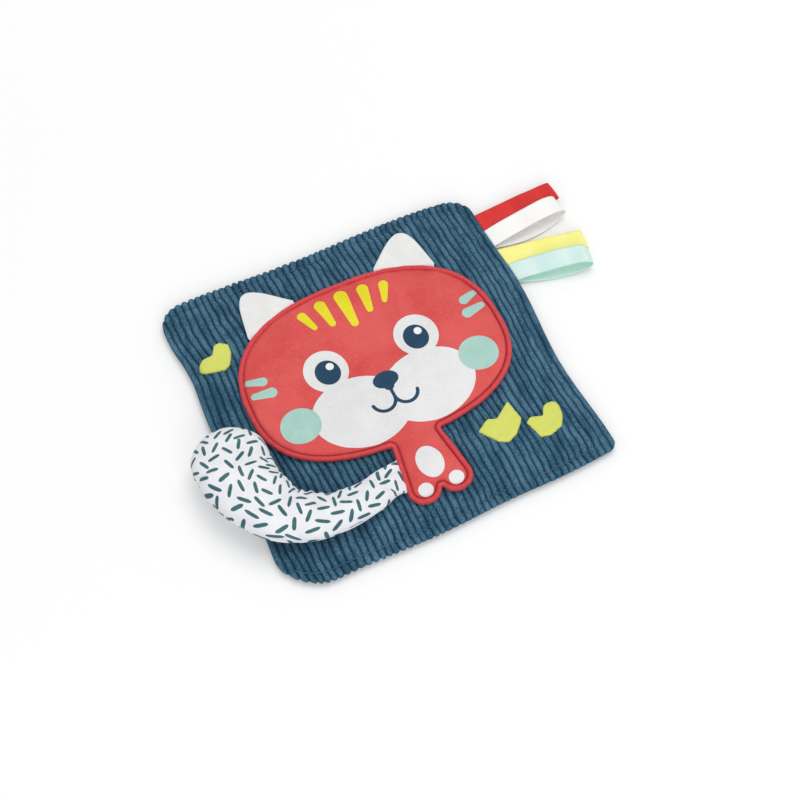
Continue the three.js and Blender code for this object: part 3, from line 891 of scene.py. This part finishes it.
CLOTH_LIFT = 0.3
GROOVE_INSET = 2.5
GROOVE_REACH = 0.65
VELOUR_STEP = 0.55
VELOUR_INSET = 1.3
BORDER_ACROSS = np.array([0, 0, 0.1, 0.35, 0.75, 1.25, 1.75, 2.1, 2.3, 2.4, 2.35, 1.7, 0.9])
BORDER_RISE = np.array([0.2, 0.8, 1.4, 1.8, 2.0, 2.05, 1.95, 1.65, 1.1, 0.4, 0.2, 0.1, 0.1])
HEART_SHARES = np.array([1.0, 1.02, 1.0, 0.95, 0.87, 0.75, 0.6, 0.42, 0.22, 0.0])
HEART_RISE = np.array([-0.9, -0.1, 0.45, 0.72, 0.82, 0.86, 0.88, 0.9, 0.9, 0.9])


def oval(x, y, cx, cy, rx, ry, turn=0.0):
    """About the distance outside a turned oval, from its implicit equation over its gradient."""
    c, s = math.cos(math.radians(turn)), math.sin(math.radians(turn))
    u, v = (x - cx) * c + (y - cy) * s, (y - cy) * c - (x - cx) * s
    reach = np.hypot(u / rx, v / ry)
    return reach * (reach - 1) / np.maximum(np.hypot(u / rx ** 2, v / ry ** 2), 1e-9)


def stripe(x, y, start, end, first, second):
    """Distance outside a rounded stripe whose half width goes evenly from the first to the
    second."""
    run = np.subtract(end, start)
    share = np.clip(((x - start[0]) * run[0] + (y - start[1]) * run[1]) / (run @ run), 0, 1)
    off = np.hypot(x - start[0] - share * run[0], y - start[1] - share * run[1])
    return off - (first + (second - first) * share)


def bow(x, y, cx, cy, radius, half, low, high):
    """Distance outside a thick arc of a circle between two angles in degrees, with round ends."""
    angle = np.degrees(np.arctan2(y - cy, x - cx))
    middle, reach = (low + high) / 2, (high - low) / 2
    off = (angle - middle + 180) % 360 - 180
    held = np.radians(middle + np.clip(off, -reach, reach))
    return np.hypot(x - cx - radius * np.cos(held), y - cy - radius * np.sin(held)) - half


def face_print(x, y):
    """The printed face as distances outside each colour's patches: a plain striped cat, the same on
    both sides of its middle."""
    across = np.abs(x)
    patches = {
        "white_print": [oval(across, y, 17, -14, 23, 18, 8), oval(across, y, 23, 12, 10.5, 11),
                        oval(x, y, 0, -50, 6.2, 8), oval(across, y, 7.6, -61.6, 3.6, 3.1)],
        "mint_print": [oval(across, y, 45, -9, 9.5, 9),
                       stripe(across, y, (58, 14), (50, 12.5), 1.6, 2.6),
                       stripe(across, y, (58.4, 22), (51.5, 19.5), 1.4, 2.3)],
        "yellow_print": [stripe(x, y, (0, 46), (0, 30), 3.4, 1.9),
                         stripe(across, y, (11, 45.5), (9.6, 34), 2.8, 1.6),
                         stripe(across, y, (21, 43.6), (18, 35.5), 2.3, 1.3)],
        "navy_print": [oval(across, y, 22.5, 11, 6, 6.6), oval(x, y, 0, -3.6, 6.2, 4.3),
                       oval(x, y, 0, -6.6, 2.6, 3), stripe(x, y, (0, -7), (0, -13), 0.8, 0.8),
                       bow(across, y, 5.6, -13, 5.6, 0.85, 182, 350)],
        "glint_print": [oval(x, y, 24.6, 13.6, 1.9, 1.9), oval(x, y, -20.4, 13.6, 1.9, 1.9)],
    }
    return {name: np.minimum.reduce(parts) for name, parts in patches.items()}


def velour_height(x, y, inside):
    """Height of the velour: it lies on the corduroy, dives under the border, less so at the top of
    the head, and swells inside it, uneven where the stitches tug. It has a few fine creases where
    an uneven field crosses zero and another one is high."""
    dive = (1.35 - 0.75 * ease(y, 5, 45)) * peak(inside, GROOVE_REACH, GROOVE_INSET)
    puff = 1.5 + 0.8 * (1 - np.exp(-np.maximum(inside - 2.8, 0) / 6)) - dive
    near_border = np.exp(-np.maximum(inside - 3, 0) / 5)
    tug = 0.17 * swell(x, y, 8, 41) * near_border + 0.16 * swell(x, y, 26, 43)
    crease = peak(swell(x, y, 34, 45), 0.12) * np.clip(1.4 * swell(x, y, 24, 47) - 0.3, 0, 1)
    return crest_at(x, y) + CLOTH_LIFT + puff + tug + 0.14 * crease * ease(inside, 4, 9)


def printed_face():
    """Head and body of the animal: a fine grid that follows the crown, kept inside the border. For
    the painted shade in the groove it stores the distance to the groove's middle, made more at the
    top of the head, where that painted shade is fainter."""
    across = np.arange(-65, 65 + VELOUR_STEP, VELOUR_STEP)
    up = np.arange(-69, 55 + VELOUR_STEP, VELOUR_STEP)
    x, y = np.meshgrid(across, up, indexing="ij")
    inside = inside_line(x, y, OUTLINE)
    points = together(x, y, velour_height(x, y, inside)).reshape(-1, 3)
    faces = grid_faces(*x.shape)
    kept = faces[(inside.ravel()[faces] > VELOUR_INSET).all(1)]
    used, renumbered = np.unique(kept, return_inverse=True)
    fields = face_print(x, y)
    # The distance that places the painted shade in the groove beside the border.
    fields["groove_shade_gap"] = np.abs(inside - GROOVE_INSET) + 0.35 * ease(y, 5, 45)
    face = put_piece("printed_velour_face", points[used], renumbered.reshape(kept.shape), VELOUR,
                     fields={name: values.ravel()[used] for name, values in fields.items()})
    set_all(face.modifiers.new("cloth", "SOLIDIFY"), thickness=1.1 * MM, offset=-1)
    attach(face, "pad")
    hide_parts("plush_applique")


def stitched_border():
    """The satin stitched edge: a band 2.4 mm wide along the outline, rounded over its outer side,
    with a groove at its inner side and stitches that pull it in unevenly."""
    normal = directions(OUTLINE) @ [[0, -1], [1, 0]]
    run = np.arange(len(OUTLINE)) * OUTLINE_STEP
    ragged = 0.07 * np.sin(FULL_TURN * run / 0.9 * 1.03) + 0.08 * swell(run, 0, 5, 51)
    outer, inner = BORDER_ACROSS < 1, BORDER_ACROSS > 2
    inset = BORDER_ACROSS - ragged[:, None] * outer + 0.6 * ragged[:, None] * inner
    x = OUTLINE[:, :1] - normal[:, :1] * inset
    y = OUTLINE[:, 1:] - normal[:, 1:] * inset
    z = crest_at(x, y) + 0.15 + BORDER_RISE * (1 + 0.05 * swell(run, 0, 7, 53)[:, None])
    at = np.arange(x.size).reshape(x.shape)
    after, beside = np.roll(at, -1, 0), np.roll(at, -1, 1)
    faces = together(at, beside, np.roll(after, -1, 1), after).reshape(-1, 4)
    uv = together(run[:, None], BORDER_ACROSS) * MM
    points = together(x, y, z)
    border = put_piece("stitched_border", points, faces, BORDER, uv=uv, weld=True)
    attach(border, "pad")
    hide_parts("applique_border")


def embroidered_heart(name, x, y, turn, corners):
    """Close satin stitches that fill a heart cut by hand, with straight runs between its corners,
    which a running mean rounds a little: rings that shrink to its middle, rounded over the edge,
    with ends as uneven as the stitches."""
    line = eased(spaced(np.array(corners + corners[:1]), 260), 10, 1)
    dice = np.random.default_rng(100 + turn)
    edge = (HEART_SHARES > 0.9)[:, None]
    stray = 1 + dice.uniform(-0.02, 0.02, len(line)) * edge
    plan = line * (HEART_SHARES[:, None] * stray)[..., None] + [x, y]
    z = crest_at(plan[..., 0], plan[..., 1]) + HEART_RISE[:, None]
    at = np.arange(z.size).reshape(z.shape)
    angle = math.radians(turn + 90)
    c, s = math.cos(angle), math.sin(angle)
    heart = put_piece(name + "_embroidery", np.concatenate([plan, z[..., None]], -1),
                      ring_faces(at) + [at[0].tolist()], HEART, weld=True,
                      uv=together(plan @ [c, s], plan @ [-s, c]) * MM)
    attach(heart, "pad")
    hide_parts(name)


# Ears

EAR_HALF_BASE = 14.5
EAR_REACH = 19.0
EAR_THICKNESS = 0.95
EAR_PLACE = math.radians(61)


def tube(name, rings, material, uv, fields=None):
    """A closed skin over rings of points whose last point repeats the first, with its ends
    closed."""
    count, around = rings.shape[:2]
    last = (count - 1) * around
    start, end = np.full(around - 1, count * around), np.full(around - 1, count * around + 1)
    edge = np.arange(around - 1)
    caps = joined(np.column_stack([start, edge, edge + 1]),
                  np.column_stack([end, last + edge + 1, last + edge]))

    def with_ends(values, first, final):
        return joined(values.reshape(-1, *values.shape[2:]), first[None], final[None])

    points = with_ends(rings, rings[0, :-1].mean(0), rings[-1, :-1].mean(0))
    flat_uv = with_ends(uv, uv[0].mean(0), uv[-1].mean(0))
    flat = {k: with_ends(v, v[0].mean(0), v[-1].mean(0)) for k, v in (fields or {}).items()}
    faces = grid_faces(count, around).tolist() + caps.tolist()
    return put_piece(name, points, faces, material, uv=flat_uv, fields=flat, weld=True)


def ear(word, side):
    """A rounded triangle of two plies, sewn and turned: flat sections from base to tip whose width
    shrinks evenly and closes in a round tip, thicker at the turned edge, with folds that fan from
    the base. It stands square to the head's outline, and its lowest rings dive under the border."""
    up = joined([-0.12, -0.05], np.sin(np.linspace(0, np.pi / 2, 34)))[:, None]
    turn = np.linspace(0, FULL_TURN, 73)
    c, s = np.cos(turn), np.sin(turn)
    share = np.clip(up, 0, 1)
    half = EAR_HALF_BASE * (1 - 0.7 * share) * np.sqrt(np.maximum(1 - share ** 8, 0))
    half = np.maximum(half, 0.02)
    across = half * signed_power(c, 0.9)
    thick = EAR_THICKNESS * np.minimum(1, (half / 3) ** 0.5) * signed_power(s, 0.55)
    rim = 0.22 * peak(np.abs(c), 0.1, 0.86) * np.sign(s)
    height = up * EAR_REACH * (1 - 0.03 * (across / EAR_HALF_BASE) ** 2)
    base, ahead, behind = head_point(EAR_PLACE + np.array([0, 0.01, -0.01]))
    run = (ahead - behind) / np.linalg.norm(ahead - behind)
    out = np.array([run[1], -run[0]])
    x = side * (base[0] + out[1] * across + out[0] * height)
    y = base[1] - out[0] * across + out[1] * height
    folds = 0.25 * np.sin(across * 0.55 + side) * (1 - share) ** 1.2 * share ** 0.3
    lying = 1.5 + 0.9 * share ** 1.5 + folds + thick + rim
    z = crest_at(x, y) + np.where(up < 0, 0.7 + thick * 0.4, lying)
    rings = together(x, y, z)
    rings[:, -1] = rings[:, 0]
    uv = together(across * np.sign(s + 1e-9), height) * MM
    piece = tube(word + "_ear", rings, EAR, uv)
    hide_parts(word + "_ear_back", word + "_ear_front")
    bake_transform(piece)


# Tail

TAIL_ROOT = np.array([-16.1, -50.4])
TAIL_BOTTOM = 8.5
TAIL_FULLNESS = 0.86
ABOVE_SEAM = 0.6
BELOW_SEAM = 0.4
ROOT_FACING = np.array([-0.994, 0.109])
TAIL_LINE = np.array([
    (3.4, -0.3, 8.9, 0.8), (-6, -1.8, 7.9, 4.2), (-16, -4.8, 8.4, 8.2), (-30, -6.5, 9.4, 11),
    (-42.5, -4, 11.4, 12.6), (-53.5, 2.6, 13.6, 14), (-60.9, 12.6, 15.6, 15.4),
    (-64.8, 24.4, 17.3, 16), (-65.7, 34.8, 17.9, 16),
])
TAIL_ROWS = 210
TAIL_AROUND = 181
TAIL_CLOSING = 40
TOP_COLUMN = 45
CREASE_DEPTH = 1.6
SIMULATED_AT = 10
DASH_PITCH = 6.25
DASH_HALF_LENGTH = 3.2
DASH_HALF_WIDTH = 0.8


def through(stations, at):
    """A smooth curve through stations one step apart (Catmull-Rom)."""
    before, beyond = 2 * stations[0] - stations[1], 2 * stations[-1] - stations[-2]
    held = joined([before], stations, [beyond])
    piece = np.clip(at.astype(int), 0, len(stations) - 2)
    u = (at - piece)[:, None]
    a, b, c, d = (held[piece + k] for k in range(4))
    return 0.5 * (2 * b + (c - a) * u + (2 * a - 5 * b + 4 * c - d) * u ** 2
                  + (3 * b - a - 3 * c + d) * u ** 3)


def tail_sections(count, closing):
    """Place, half width and height, and direction at steps along the tail and round its blunt end.
    The root is square to the border that it's sewn under."""
    at = np.linspace(0, len(TAIL_LINE) - 1, count)
    line = through(TAIL_LINE, at)
    run = unit(np.gradient(line[:, :2], axis=0))
    root = peak(at, 0.6)[:, None]
    run = unit(run * (1 - root) + ROOT_FACING * root)
    k = np.sin(np.linspace(0, np.pi / 2, closing)[1:])
    k[-1] = 0.9995
    share = np.sqrt(1 - k * k)
    last, ahead = line[-1], run[-1]
    place = last[:2] + ahead * (last[2] * k)[:, None]
    end = np.column_stack([place, last[2] * share, last[3] * np.sqrt(share)])
    return joined(line, end), joined(run, np.broadcast_to(ahead, (len(k), 2)))


def straightened(line, run, share):
    """The same sections along a line whose bends are less by a share: the directions are turned
    back and the steps between them summed again."""
    angle = np.unwrap(np.arctan2(run[:, 1], run[:, 0]))
    angle = angle[0] + (angle - angle[0]) * (1 - share)
    turned = together(np.cos(angle), np.sin(angle))
    step = np.linalg.norm(np.diff(line[:, :2], axis=0), axis=1)[:, None]
    walked = np.cumsum(step * (turned[1:] + turned[:-1]) / 2, axis=0)
    place = line[:1, :2] + joined([[0, 0]], walked)
    return np.column_stack([place, line[:, 2:]]), turned


def tail_skin(line, run, around, girth=1.0):
    """Flattened oval sections along a line: a power of cosine across, and of sine up and down, with
    less of the height below the seams than above. The root lies half a millimetre lower."""
    turn = np.linspace(0, FULL_TURN, around)
    c, s = np.cos(turn), np.sin(turn)
    height = line[:, 3:4]
    across = girth * line[:, 2:3] * signed_power(c, TAIL_FULLNESS)
    up = girth * height * np.where(s > 0, ABOVE_SEAM, BELOW_SEAM) * signed_power(s, TAIL_FULLNESS)
    lowered = 0.5 * np.exp(-np.arange(len(line)) * 120 / len(line) / 3)[:, None]
    middle = TAIL_BOTTOM + height * BELOW_SEAM - lowered
    x = TAIL_ROOT[0] + line[:, :1] + run[:, 1:] * across
    y = TAIL_ROOT[1] + line[:, 1:2] - run[:, :1] * across
    return together(x, y, middle + up)


def settled(start, cut, frames):
    """How far cloth simulation moves each point of a ring mesh that starts in one shape, is cut as
    long as another and is pushed out by its stuffing. The first ring is held. It runs at ten times
    life size, which suits Blender's stiffness."""
    scale = SIMULATED_AT * MM
    at = np.arange(start[..., 0].size).reshape(start.shape[:2])
    faces = ring_faces(at) + [at[-1].tolist()]
    mesh = bpy.data.meshes.new("cloth")
    mesh.from_pydata((start.reshape(-1, 3) * scale).tolist(), [], faces)
    piece = put_object("cloth", mesh)
    piece.shape_key_add(name="start")
    sewn = piece.shape_key_add(name="cut")
    sewn.data.foreach_set("co", (cut.reshape(-1, 3) * scale).ravel())
    piece.vertex_groups.new(name="held").add(at[0].tolist(), 1.0, "REPLACE")
    cloth = piece.modifiers.new("cloth", "CLOTH")
    cloth.point_cache.frame_end = frames
    set_all(cloth.settings, quality=8, mass=0.25, tension_stiffness=30, compression_stiffness=30,
            shear_stiffness=6, bending_stiffness=0.05, rest_shape_key=sewn,
            vertex_group_mass="held", use_pressure=True, uniform_pressure_force=2.0)
    cloth.settings.effector_weights.gravity = 0
    for frame in range(1, frames + 1):
        bpy.context.scene.frame_set(frame)
    seen = piece.evaluated_get(bpy.context.evaluated_depsgraph_get()).data
    found = np.empty(len(seen.vertices) * 3, np.float32)
    seen.vertices.foreach_get("co", found)
    bpy.context.scene.frame_set(1)
    bpy.data.objects.remove(piece)
    bpy.data.meshes.remove(mesh)
    return found.reshape(start.shape) / scale - start


def blurred(values, passes):
    """A ring mesh's values, each averaged with its neighbours along and around a number of
    times."""
    for _ in range(passes):
        values = (values + np.roll(values, 1, 1) + np.roll(values, -1, 1)) / 3
        held = joined(values[:1], values, values[-1:])
        values = (held[:-2] + held[1:-1] + held[2:]) / 3
    return values


def finer(values, rows, columns):
    """Values of a ring mesh at finer rows and columns, by smooth curves through them both ways."""
    count, around = values.shape[:2]
    down = through(values.reshape(count, -1), rows).reshape(len(rows), around, -1)
    ring = np.concatenate([down[:, -3:], down, down[:, :3]], 1).transpose(1, 0, 2)
    across = through(ring.reshape(len(ring), -1), columns + 3)
    return across.reshape(len(columns), len(rows), -1).transpose(1, 0, 2)


def tail_creases():
    """The creases that two panels, cut flat and a little wide and less bent than they lie, take
    when they are stuffed: what the cloth simulation moves, less its blurred share, which is the
    outline, and capped at 1.6 mm."""
    body, closing, around = 130, 30, 97
    line, run = tail_sections(body, closing)
    start = tail_skin(line, run, around)[:, :-1]
    line[:, 2] *= 1.16
    line[:, 3] = 1.5
    cut = tail_skin(*straightened(line, run, 0.15), around)[:, :-1]
    moved = settled(start, cut, frames=18)
    moved = 1.4 * (moved - blurred(moved, 70))
    length = np.linalg.norm(moved, axis=2, keepdims=True)
    moved *= CREASE_DEPTH * np.tanh(length / CREASE_DEPTH) / np.maximum(length, 1e-6)
    round_end = body - 1 + np.linspace(0, closing - 1, TAIL_CLOSING)[1:]
    at = joined(np.linspace(0, body - 1, TAIL_ROWS), round_end)
    return finer(moved, at, np.linspace(0, around - 1, TAIL_AROUND))


def dash_places(low, high, seed):
    """Middles and directions of the printed dashes: a staggered grid with each point moved a
    little, and each direction picked from 14 to keep clear of the dashes already placed."""
    dice = np.random.default_rng(seed)
    tried = 14
    reach = np.linspace(-3.05, 3.05, 7)[:, None]
    placed, ends = [], np.empty((0, 2))
    for place, v in enumerate(np.arange(low[1], high[1], DASH_PITCH * 0.87)):
        for u in np.arange(low[0] + (place % 2) * DASH_PITCH / 2, high[0], DASH_PITCH):
            middle = np.array([u, v]) + dice.uniform(-1.1, 1.1, 2)
            angles = dice.uniform(0, np.pi, tried)
            tries = middle + together(np.cos(angles), np.sin(angles))[:, None] * reach
            near = ends[np.abs(ends - middle).max(1) < 8]
            room = np.zeros(tried)
            if len(near):
                room = np.linalg.norm(tries[:, :, None] - near, axis=-1).min((1, 2))
            best = room.argmax()
            placed.append((*middle, angles[best]))
            ends = joined(ends, tries[best])
    return np.array(placed)


def dash_distance(u, v, dashes):
    """About the distance outside the nearest dash, each a blunt grain 6.4 mm long and 1.6 mm
    wide."""
    c, s = np.cos(dashes[:, 2]), np.sin(dashes[:, 2])
    found = []
    for part in in_parts(together(u.ravel(), v.ravel())):
        off = part[:, None] - dashes[None, :, :2]
        along = np.abs(off[..., 0] * c + off[..., 1] * s)
        across = np.abs(off[..., 1] * c - off[..., 0] * s)
        taper = np.minimum(along / DASH_HALF_LENGTH, 1.3) ** 5
        body = across - DASH_HALF_WIDTH * (1 - taper)
        found.append(np.maximum(body, along - DASH_HALF_LENGTH).min(1))
    return np.concatenate(found).reshape(u.shape)


def spread_round_end(line, run, across, girth, v, last):
    """Where each point lies on the printed cloth, round the girth and along the top. Round the
    blunt end each panel spreads out from the middle of its last full section: as far as that
    section's own cloth is at the same share of its width, in the point's direction in the plan."""
    place = together(girth, v)
    quarter = TOP_COLUMN
    ahead = ((line[last:, :2] - line[last, :2]) @ run[last])[:, None]
    out = np.maximum(np.hypot(ahead, across[last:]), 0.001)
    for middle, side in ((quarter, -1), (3 * quarter, 1)):
        columns = slice(0, 2 * quarter + 1) if side < 0 else slice(2 * quarter + 1, TAIL_AROUND)
        onward = girth[last, middle:middle + quarter + 1]
        back = girth[last, middle - quarter:middle + 1][::-1]
        width = np.abs(across[last, middle:middle + quarter + 1])
        far = np.interp(out, width, (onward - back) / 2)[:, columns]
        sideways, forward = (across[last:] / out)[:, columns], (ahead / out)[:, columns]
        place[last:, columns, 0] = girth[last, middle] + side * far * sideways
        place[last:, columns, 1] = v[last, middle] + far * forward
    return place


def stuffed_tail():
    """The tail: flattened oval sections along its line, drawn in where the two panels are sewn at
    the sides, with gathers on the inside of the bend, a swell from the stuffing, and the creases of
    a cloth simulation."""
    line, run = tail_sections(TAIL_ROWS, TAIL_CLOSING)
    steps = run_along(line[:, :2])[:, None]
    turn = np.linspace(0, FULL_TURN, TAIL_AROUND)
    c, s = np.cos(turn), np.sin(turn)
    half = line[:, 2:3]
    across = half * signed_power(c, TAIL_FULLNESS)
    wander = 1.2 * swell(steps * 0.25, across * 0.4, 9, 61)
    inner_bend = peak(steps, 19, 50) * np.clip(c, 0, 1) ** 0.7 * np.clip(s + 0.55, 0, 1)
    gather = inner_bend * (0.6 * np.sin(FULL_TURN * steps / 5.2 + wander) - 0.25)
    uneven = np.clip(0.55 + 0.75 * swell(steps, 30 * np.sign(c), 15, 63), 0, 1.6)
    drawn = 0.3 + uneven * (0.3 + 0.34 * np.sin(FULL_TURN * steps / 4.3 + wander))
    pucker = peak(s, 0.075) * drawn * np.minimum(1, half / 6)
    soft = 0.3 * swell(steps, across + 40 * (s < 0), 21, 67) * np.minimum(1, half / 8)
    girth = 1 + (gather + soft - pucker) / np.maximum(half, 2)
    rings = tail_skin(line, run, TAIL_AROUND, girth)
    rings[..., 2] += np.exp(-steps / 9) * 0.35 * np.sin(across * 1.1 + 0.4) * (s > 0)
    over_top = run_along(rings[:, TOP_COLUMN])[:, None]
    rings = rings + tail_creases()
    rings[:, -1] = rings[:, 0]
    skin = np.linalg.norm(np.diff(rings, axis=1), axis=2)
    round_skin = np.concatenate([np.zeros((len(line), 1)), np.cumsum(skin, 1)], 1)
    round_skin = round_skin - round_skin[:, TOP_COLUMN:TOP_COLUMN + 1]
    v = np.broadcast_to(over_top, round_skin.shape)
    dashes = dash_places((-34, -4), (90, 142), 7)
    cloth = spread_round_end(line, run, across, round_skin, v, TAIL_ROWS - 1)
    fields = {"dash_print": dash_distance(cloth[..., 0], cloth[..., 1], dashes)}
    tail = tube("stuffed_tail", rings, TAIL, cloth * MM, fields)
    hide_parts("tail_upper_panel", "tail_under_panel", "tail_stuffing")
    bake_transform(tail)


# Ribbons

SEAM_LEAN = math.radians(-4.03)
RIBBON_HALF_WIDTH = 5
IN_SEAM = 1.2


def ribbon_path(length, up, down, rise):
    """The loop seen from its open side, as a line out along its lower layer and back along its
    upper one. Their middle rises to the fold by a power of the way out, each layer leaves it by a
    quarter sine, and they meet in a round fold: the root of one less the tenth power of the way."""
    p = length * np.sin(np.linspace(0, np.pi / 2, 46))
    u = p / length
    fold = np.sqrt(np.maximum(0, 1 - u ** 10))
    middle, seam = rise * u ** 1.2, 0.35 * (1 - u)
    lower = middle - seam - down * np.sin(np.pi / 2 * u ** 0.7) * fold
    upper = middle + seam + up * np.sin(np.pi / 2 * u ** 0.8) * fold
    return joined(together(p, lower), together(p, upper)[-2::-1])


def ribbon_loop(word, root, near_y, turn, length, up, down, rise, bowed, seed):
    """A satin ribbon 10 mm wide folded into a loop: its path carried across the ribbon's width,
    with a slight cup and curl, slanted by its own turn, its fold square to it, and its lower layer
    bowed a little towards the open side. Its faces point into the loop and have the inside satin,
    painted lighter than the face as painted light against the shade in the loop, and lit through on
    the upper layer, and Solidify gives its outer side the glossy face."""
    path = ribbon_path(length, up, down, rise)
    half = len(path) // 2
    across = np.linspace(-RIBBON_HALF_WIDTH, RIBBON_HALF_WIDTH, 13)
    run = run_along(path)
    tangent = unit(np.gradient(path, axis=0))
    normal = together(-tangent[:, 1], tangent[:, 0])
    free = (np.maximum(0, np.sin(np.pi * run / run[-1])) ** 0.7)[:, None]
    cup = 0.1 * free * (across / RIBBON_HALF_WIDTH) ** 2
    curl = 0.16 * free * swell(run[:, None], across, 16, seed) + cup
    p, h = (path[:, k:k + 1] + normal[:, k:k + 1] * curl for k in (0, 1))
    own_turn = math.radians(turn)
    slant = math.tan(own_turn + SEAM_LEAN)
    along = p * (1 - math.tan(own_turn) * across / length) - IN_SEAM
    lower = (np.arange(len(path)) < half)[:, None]
    bowing = bowed * lower * np.sin(np.pi * np.clip(p / length, 0, 1))
    q = RIBBON_HALF_WIDTH + across + slant * p - bowing
    c, s = math.cos(-SEAM_LEAN), math.sin(-SEAM_LEAN)
    points = together(root + c * along - s * q, near_y + s * along + c * q, SEAM_HEIGHT + h)
    uv = together(across[None], run[:, None]) * MM
    face, inside, lit_through = RIBBONS[word]
    piece = put_piece(word + "_ribbon", points, grid_faces(*points.shape[:2]), inside, uv=uv)
    for material in (face, lit_through, face):
        piece.data.materials.append(material)
    upper = np.repeat(np.arange(len(path) - 1) >= half, len(across) - 1)
    piece.data.polygons.foreach_set("material_index", np.where(upper, 2, 0).astype(np.int32))
    set_all(piece.modifiers.new("ribbon", "SOLIDIFY"), thickness=0.28 * MM, offset=0,
            material_offset=1)
    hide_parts(word + "_ribbon_loop")
    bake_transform(piece)


# The toy

HEARTS = {
    "heart_patch_left": (-66.4, 42.4, 28, [
        (-7.9, -0.6), (-5.3, 1.9), (0, 1.8), (2.6, 6.1), (5.4, 6.3), (8.7, 3.5), (8.1, -1.3),
        (5.4, -6.5), (2.3, -8.0), (-6.5, -5.0), (-8.2, -3.0)]),
    "heart_patch_middle": (38.6, -45.4, 26, [
        (-11.6, 0.4), (-5.4, 4.3), (-1.2, 2.7), (7.4, 8.8), (9.1, -1.8), (4.2, -7.3),
        (-1.3, -10), (-5.2, -8)]),
    "heart_patch_right": (57.8, -51.6, 24, [
        (-8.8, 1.5), (-6.2, 3.3), (-0.6, 1.4), (1.9, 5.9), (4.9, 7), (8.3, 6.3), (9, 3.8),
        (8.1, -1.5), (5, -6.4), (-1.5, -8.4), (-6.1, -7.4)]),
}
LOOPS = {
    "red": dict(root=81.2, near_y=54.6, turn=2.6, length=42.3, up=1.4, down=2.4, rise=0.4,
                bowed=0.0, seed=71),
    "white": dict(root=81.41, near_y=44.4, turn=3.5, length=40.4, up=4.6, down=3.1, rise=1.7,
                  bowed=3.2, seed=72),
    "yellow": dict(root=82.42, near_y=32.4, turn=-10.6, length=40.8, up=1.4, down=2.4, rise=0.4,
                   bowed=0.0, seed=73),
    "mint": dict(root=83.15, near_y=22.6, turn=-12.0, length=37.2, up=4.6, down=3.1, rise=1.7,
                 bowed=1.6, seed=74),
}

corduroy_cover()
topstitching()
printed_face()
stitched_border()
for name, (x, y, turn, corners) in HEARTS.items():
    embroidered_heart(name, x, y, turn, corners)
for word, side in (("left", -1), ("right", 1)):
    ear(word, side)
stuffed_tail()
for word, shape in LOOPS.items():
    ribbon_loop(word, **shape)
for name in ("crinkle_film_lower", "crinkle_film_upper"):
    film = frame["nodes"][name]
    film.data.materials.clear()
    film.data.materials.append(FILM)


# Studio

FLOOR_HALF = 6
FLOOR_DROP = -0.0003
LAMPS = {"key": ((0.28, 0.28, 1.38), 8.0), "fill": ((-0.3, -1.1, 0.75), 5.5)}
LAMP_SIZE = 1.0


def white_floor():
    """A plain white floor, brighter to the camera's own rays the farther it is from the toy."""
    material = bpy.data.materials.new("studio_floor")
    material.use_nodes = True
    tree = material.node_tree
    shader = tree.nodes["Principled BSDF"]
    set_inputs(shader, {"Base Color": (0.86, 0.86, 0.86, 1), "Roughness": 0.9,
                        "Specular IOR Level": 0.0, "Emission Color": (1, 1, 1, 1)})
    seen = add(tree, "ShaderNodeLightPath").outputs["Is Camera Ray"]
    place = object_place(tree)
    far = add(tree, "ShaderNodeVectorMath", place, operation="LENGTH").outputs["Value"]
    strength = times(tree, seen, between(tree, far, 0.12, 1.8, 0.11, 0.62))
    feed(tree, shader.inputs["Emission Strength"], strength)
    spots = ((-1, -1), (1, -1), (1, 1), (-1, 1))
    corners = [(x * FLOOR_HALF, y * FLOOR_HALF, FLOOR_DROP) for x, y in spots]
    mesh = bpy.data.meshes.new("floor")
    mesh.from_pydata(corners, [], [(0, 1, 2, 3)])
    mesh.materials.append(material)
    floor = put_object("floor", mesh)


def white_sky():
    """A white sky at a strength of 0.58, and of 1 where the camera, a gloss or clear film sees
    it."""
    world = bpy.data.worlds.new("studio")
    bpy.context.scene.world = world
    world.use_nodes = True
    tree = world.node_tree
    sky = tree.nodes["Background"]
    sky.inputs["Color"].default_value = (1, 1, 1, 1)
    paths = add(tree, "ShaderNodeLightPath").outputs
    seen = calc(tree, "MAXIMUM", paths["Is Glossy Ray"], paths["Is Transmission Ray"])
    seen = calc(tree, "MAXIMUM", paths["Is Camera Ray"], seen)
    strength = add(tree, "ShaderNodeMapRange", seen, 0.0, 1.0, 0.58, 1.0).outputs[0]
    feed(tree, sky.inputs["Strength"], strength)


def soft_lamps():
    """Two square lamps, each turned to the middle of the toy."""
    for name, (place, power) in LAMPS.items():
        lamp = bpy.data.lights.new(name, "AREA")
        set_all(lamp, size=LAMP_SIZE, energy=power)
        look_down(put_object(name, lamp), Vector(place))


white_floor()
white_sky()
soft_lamps()
bpy.context.scene.view_settings.view_transform = "Standard"
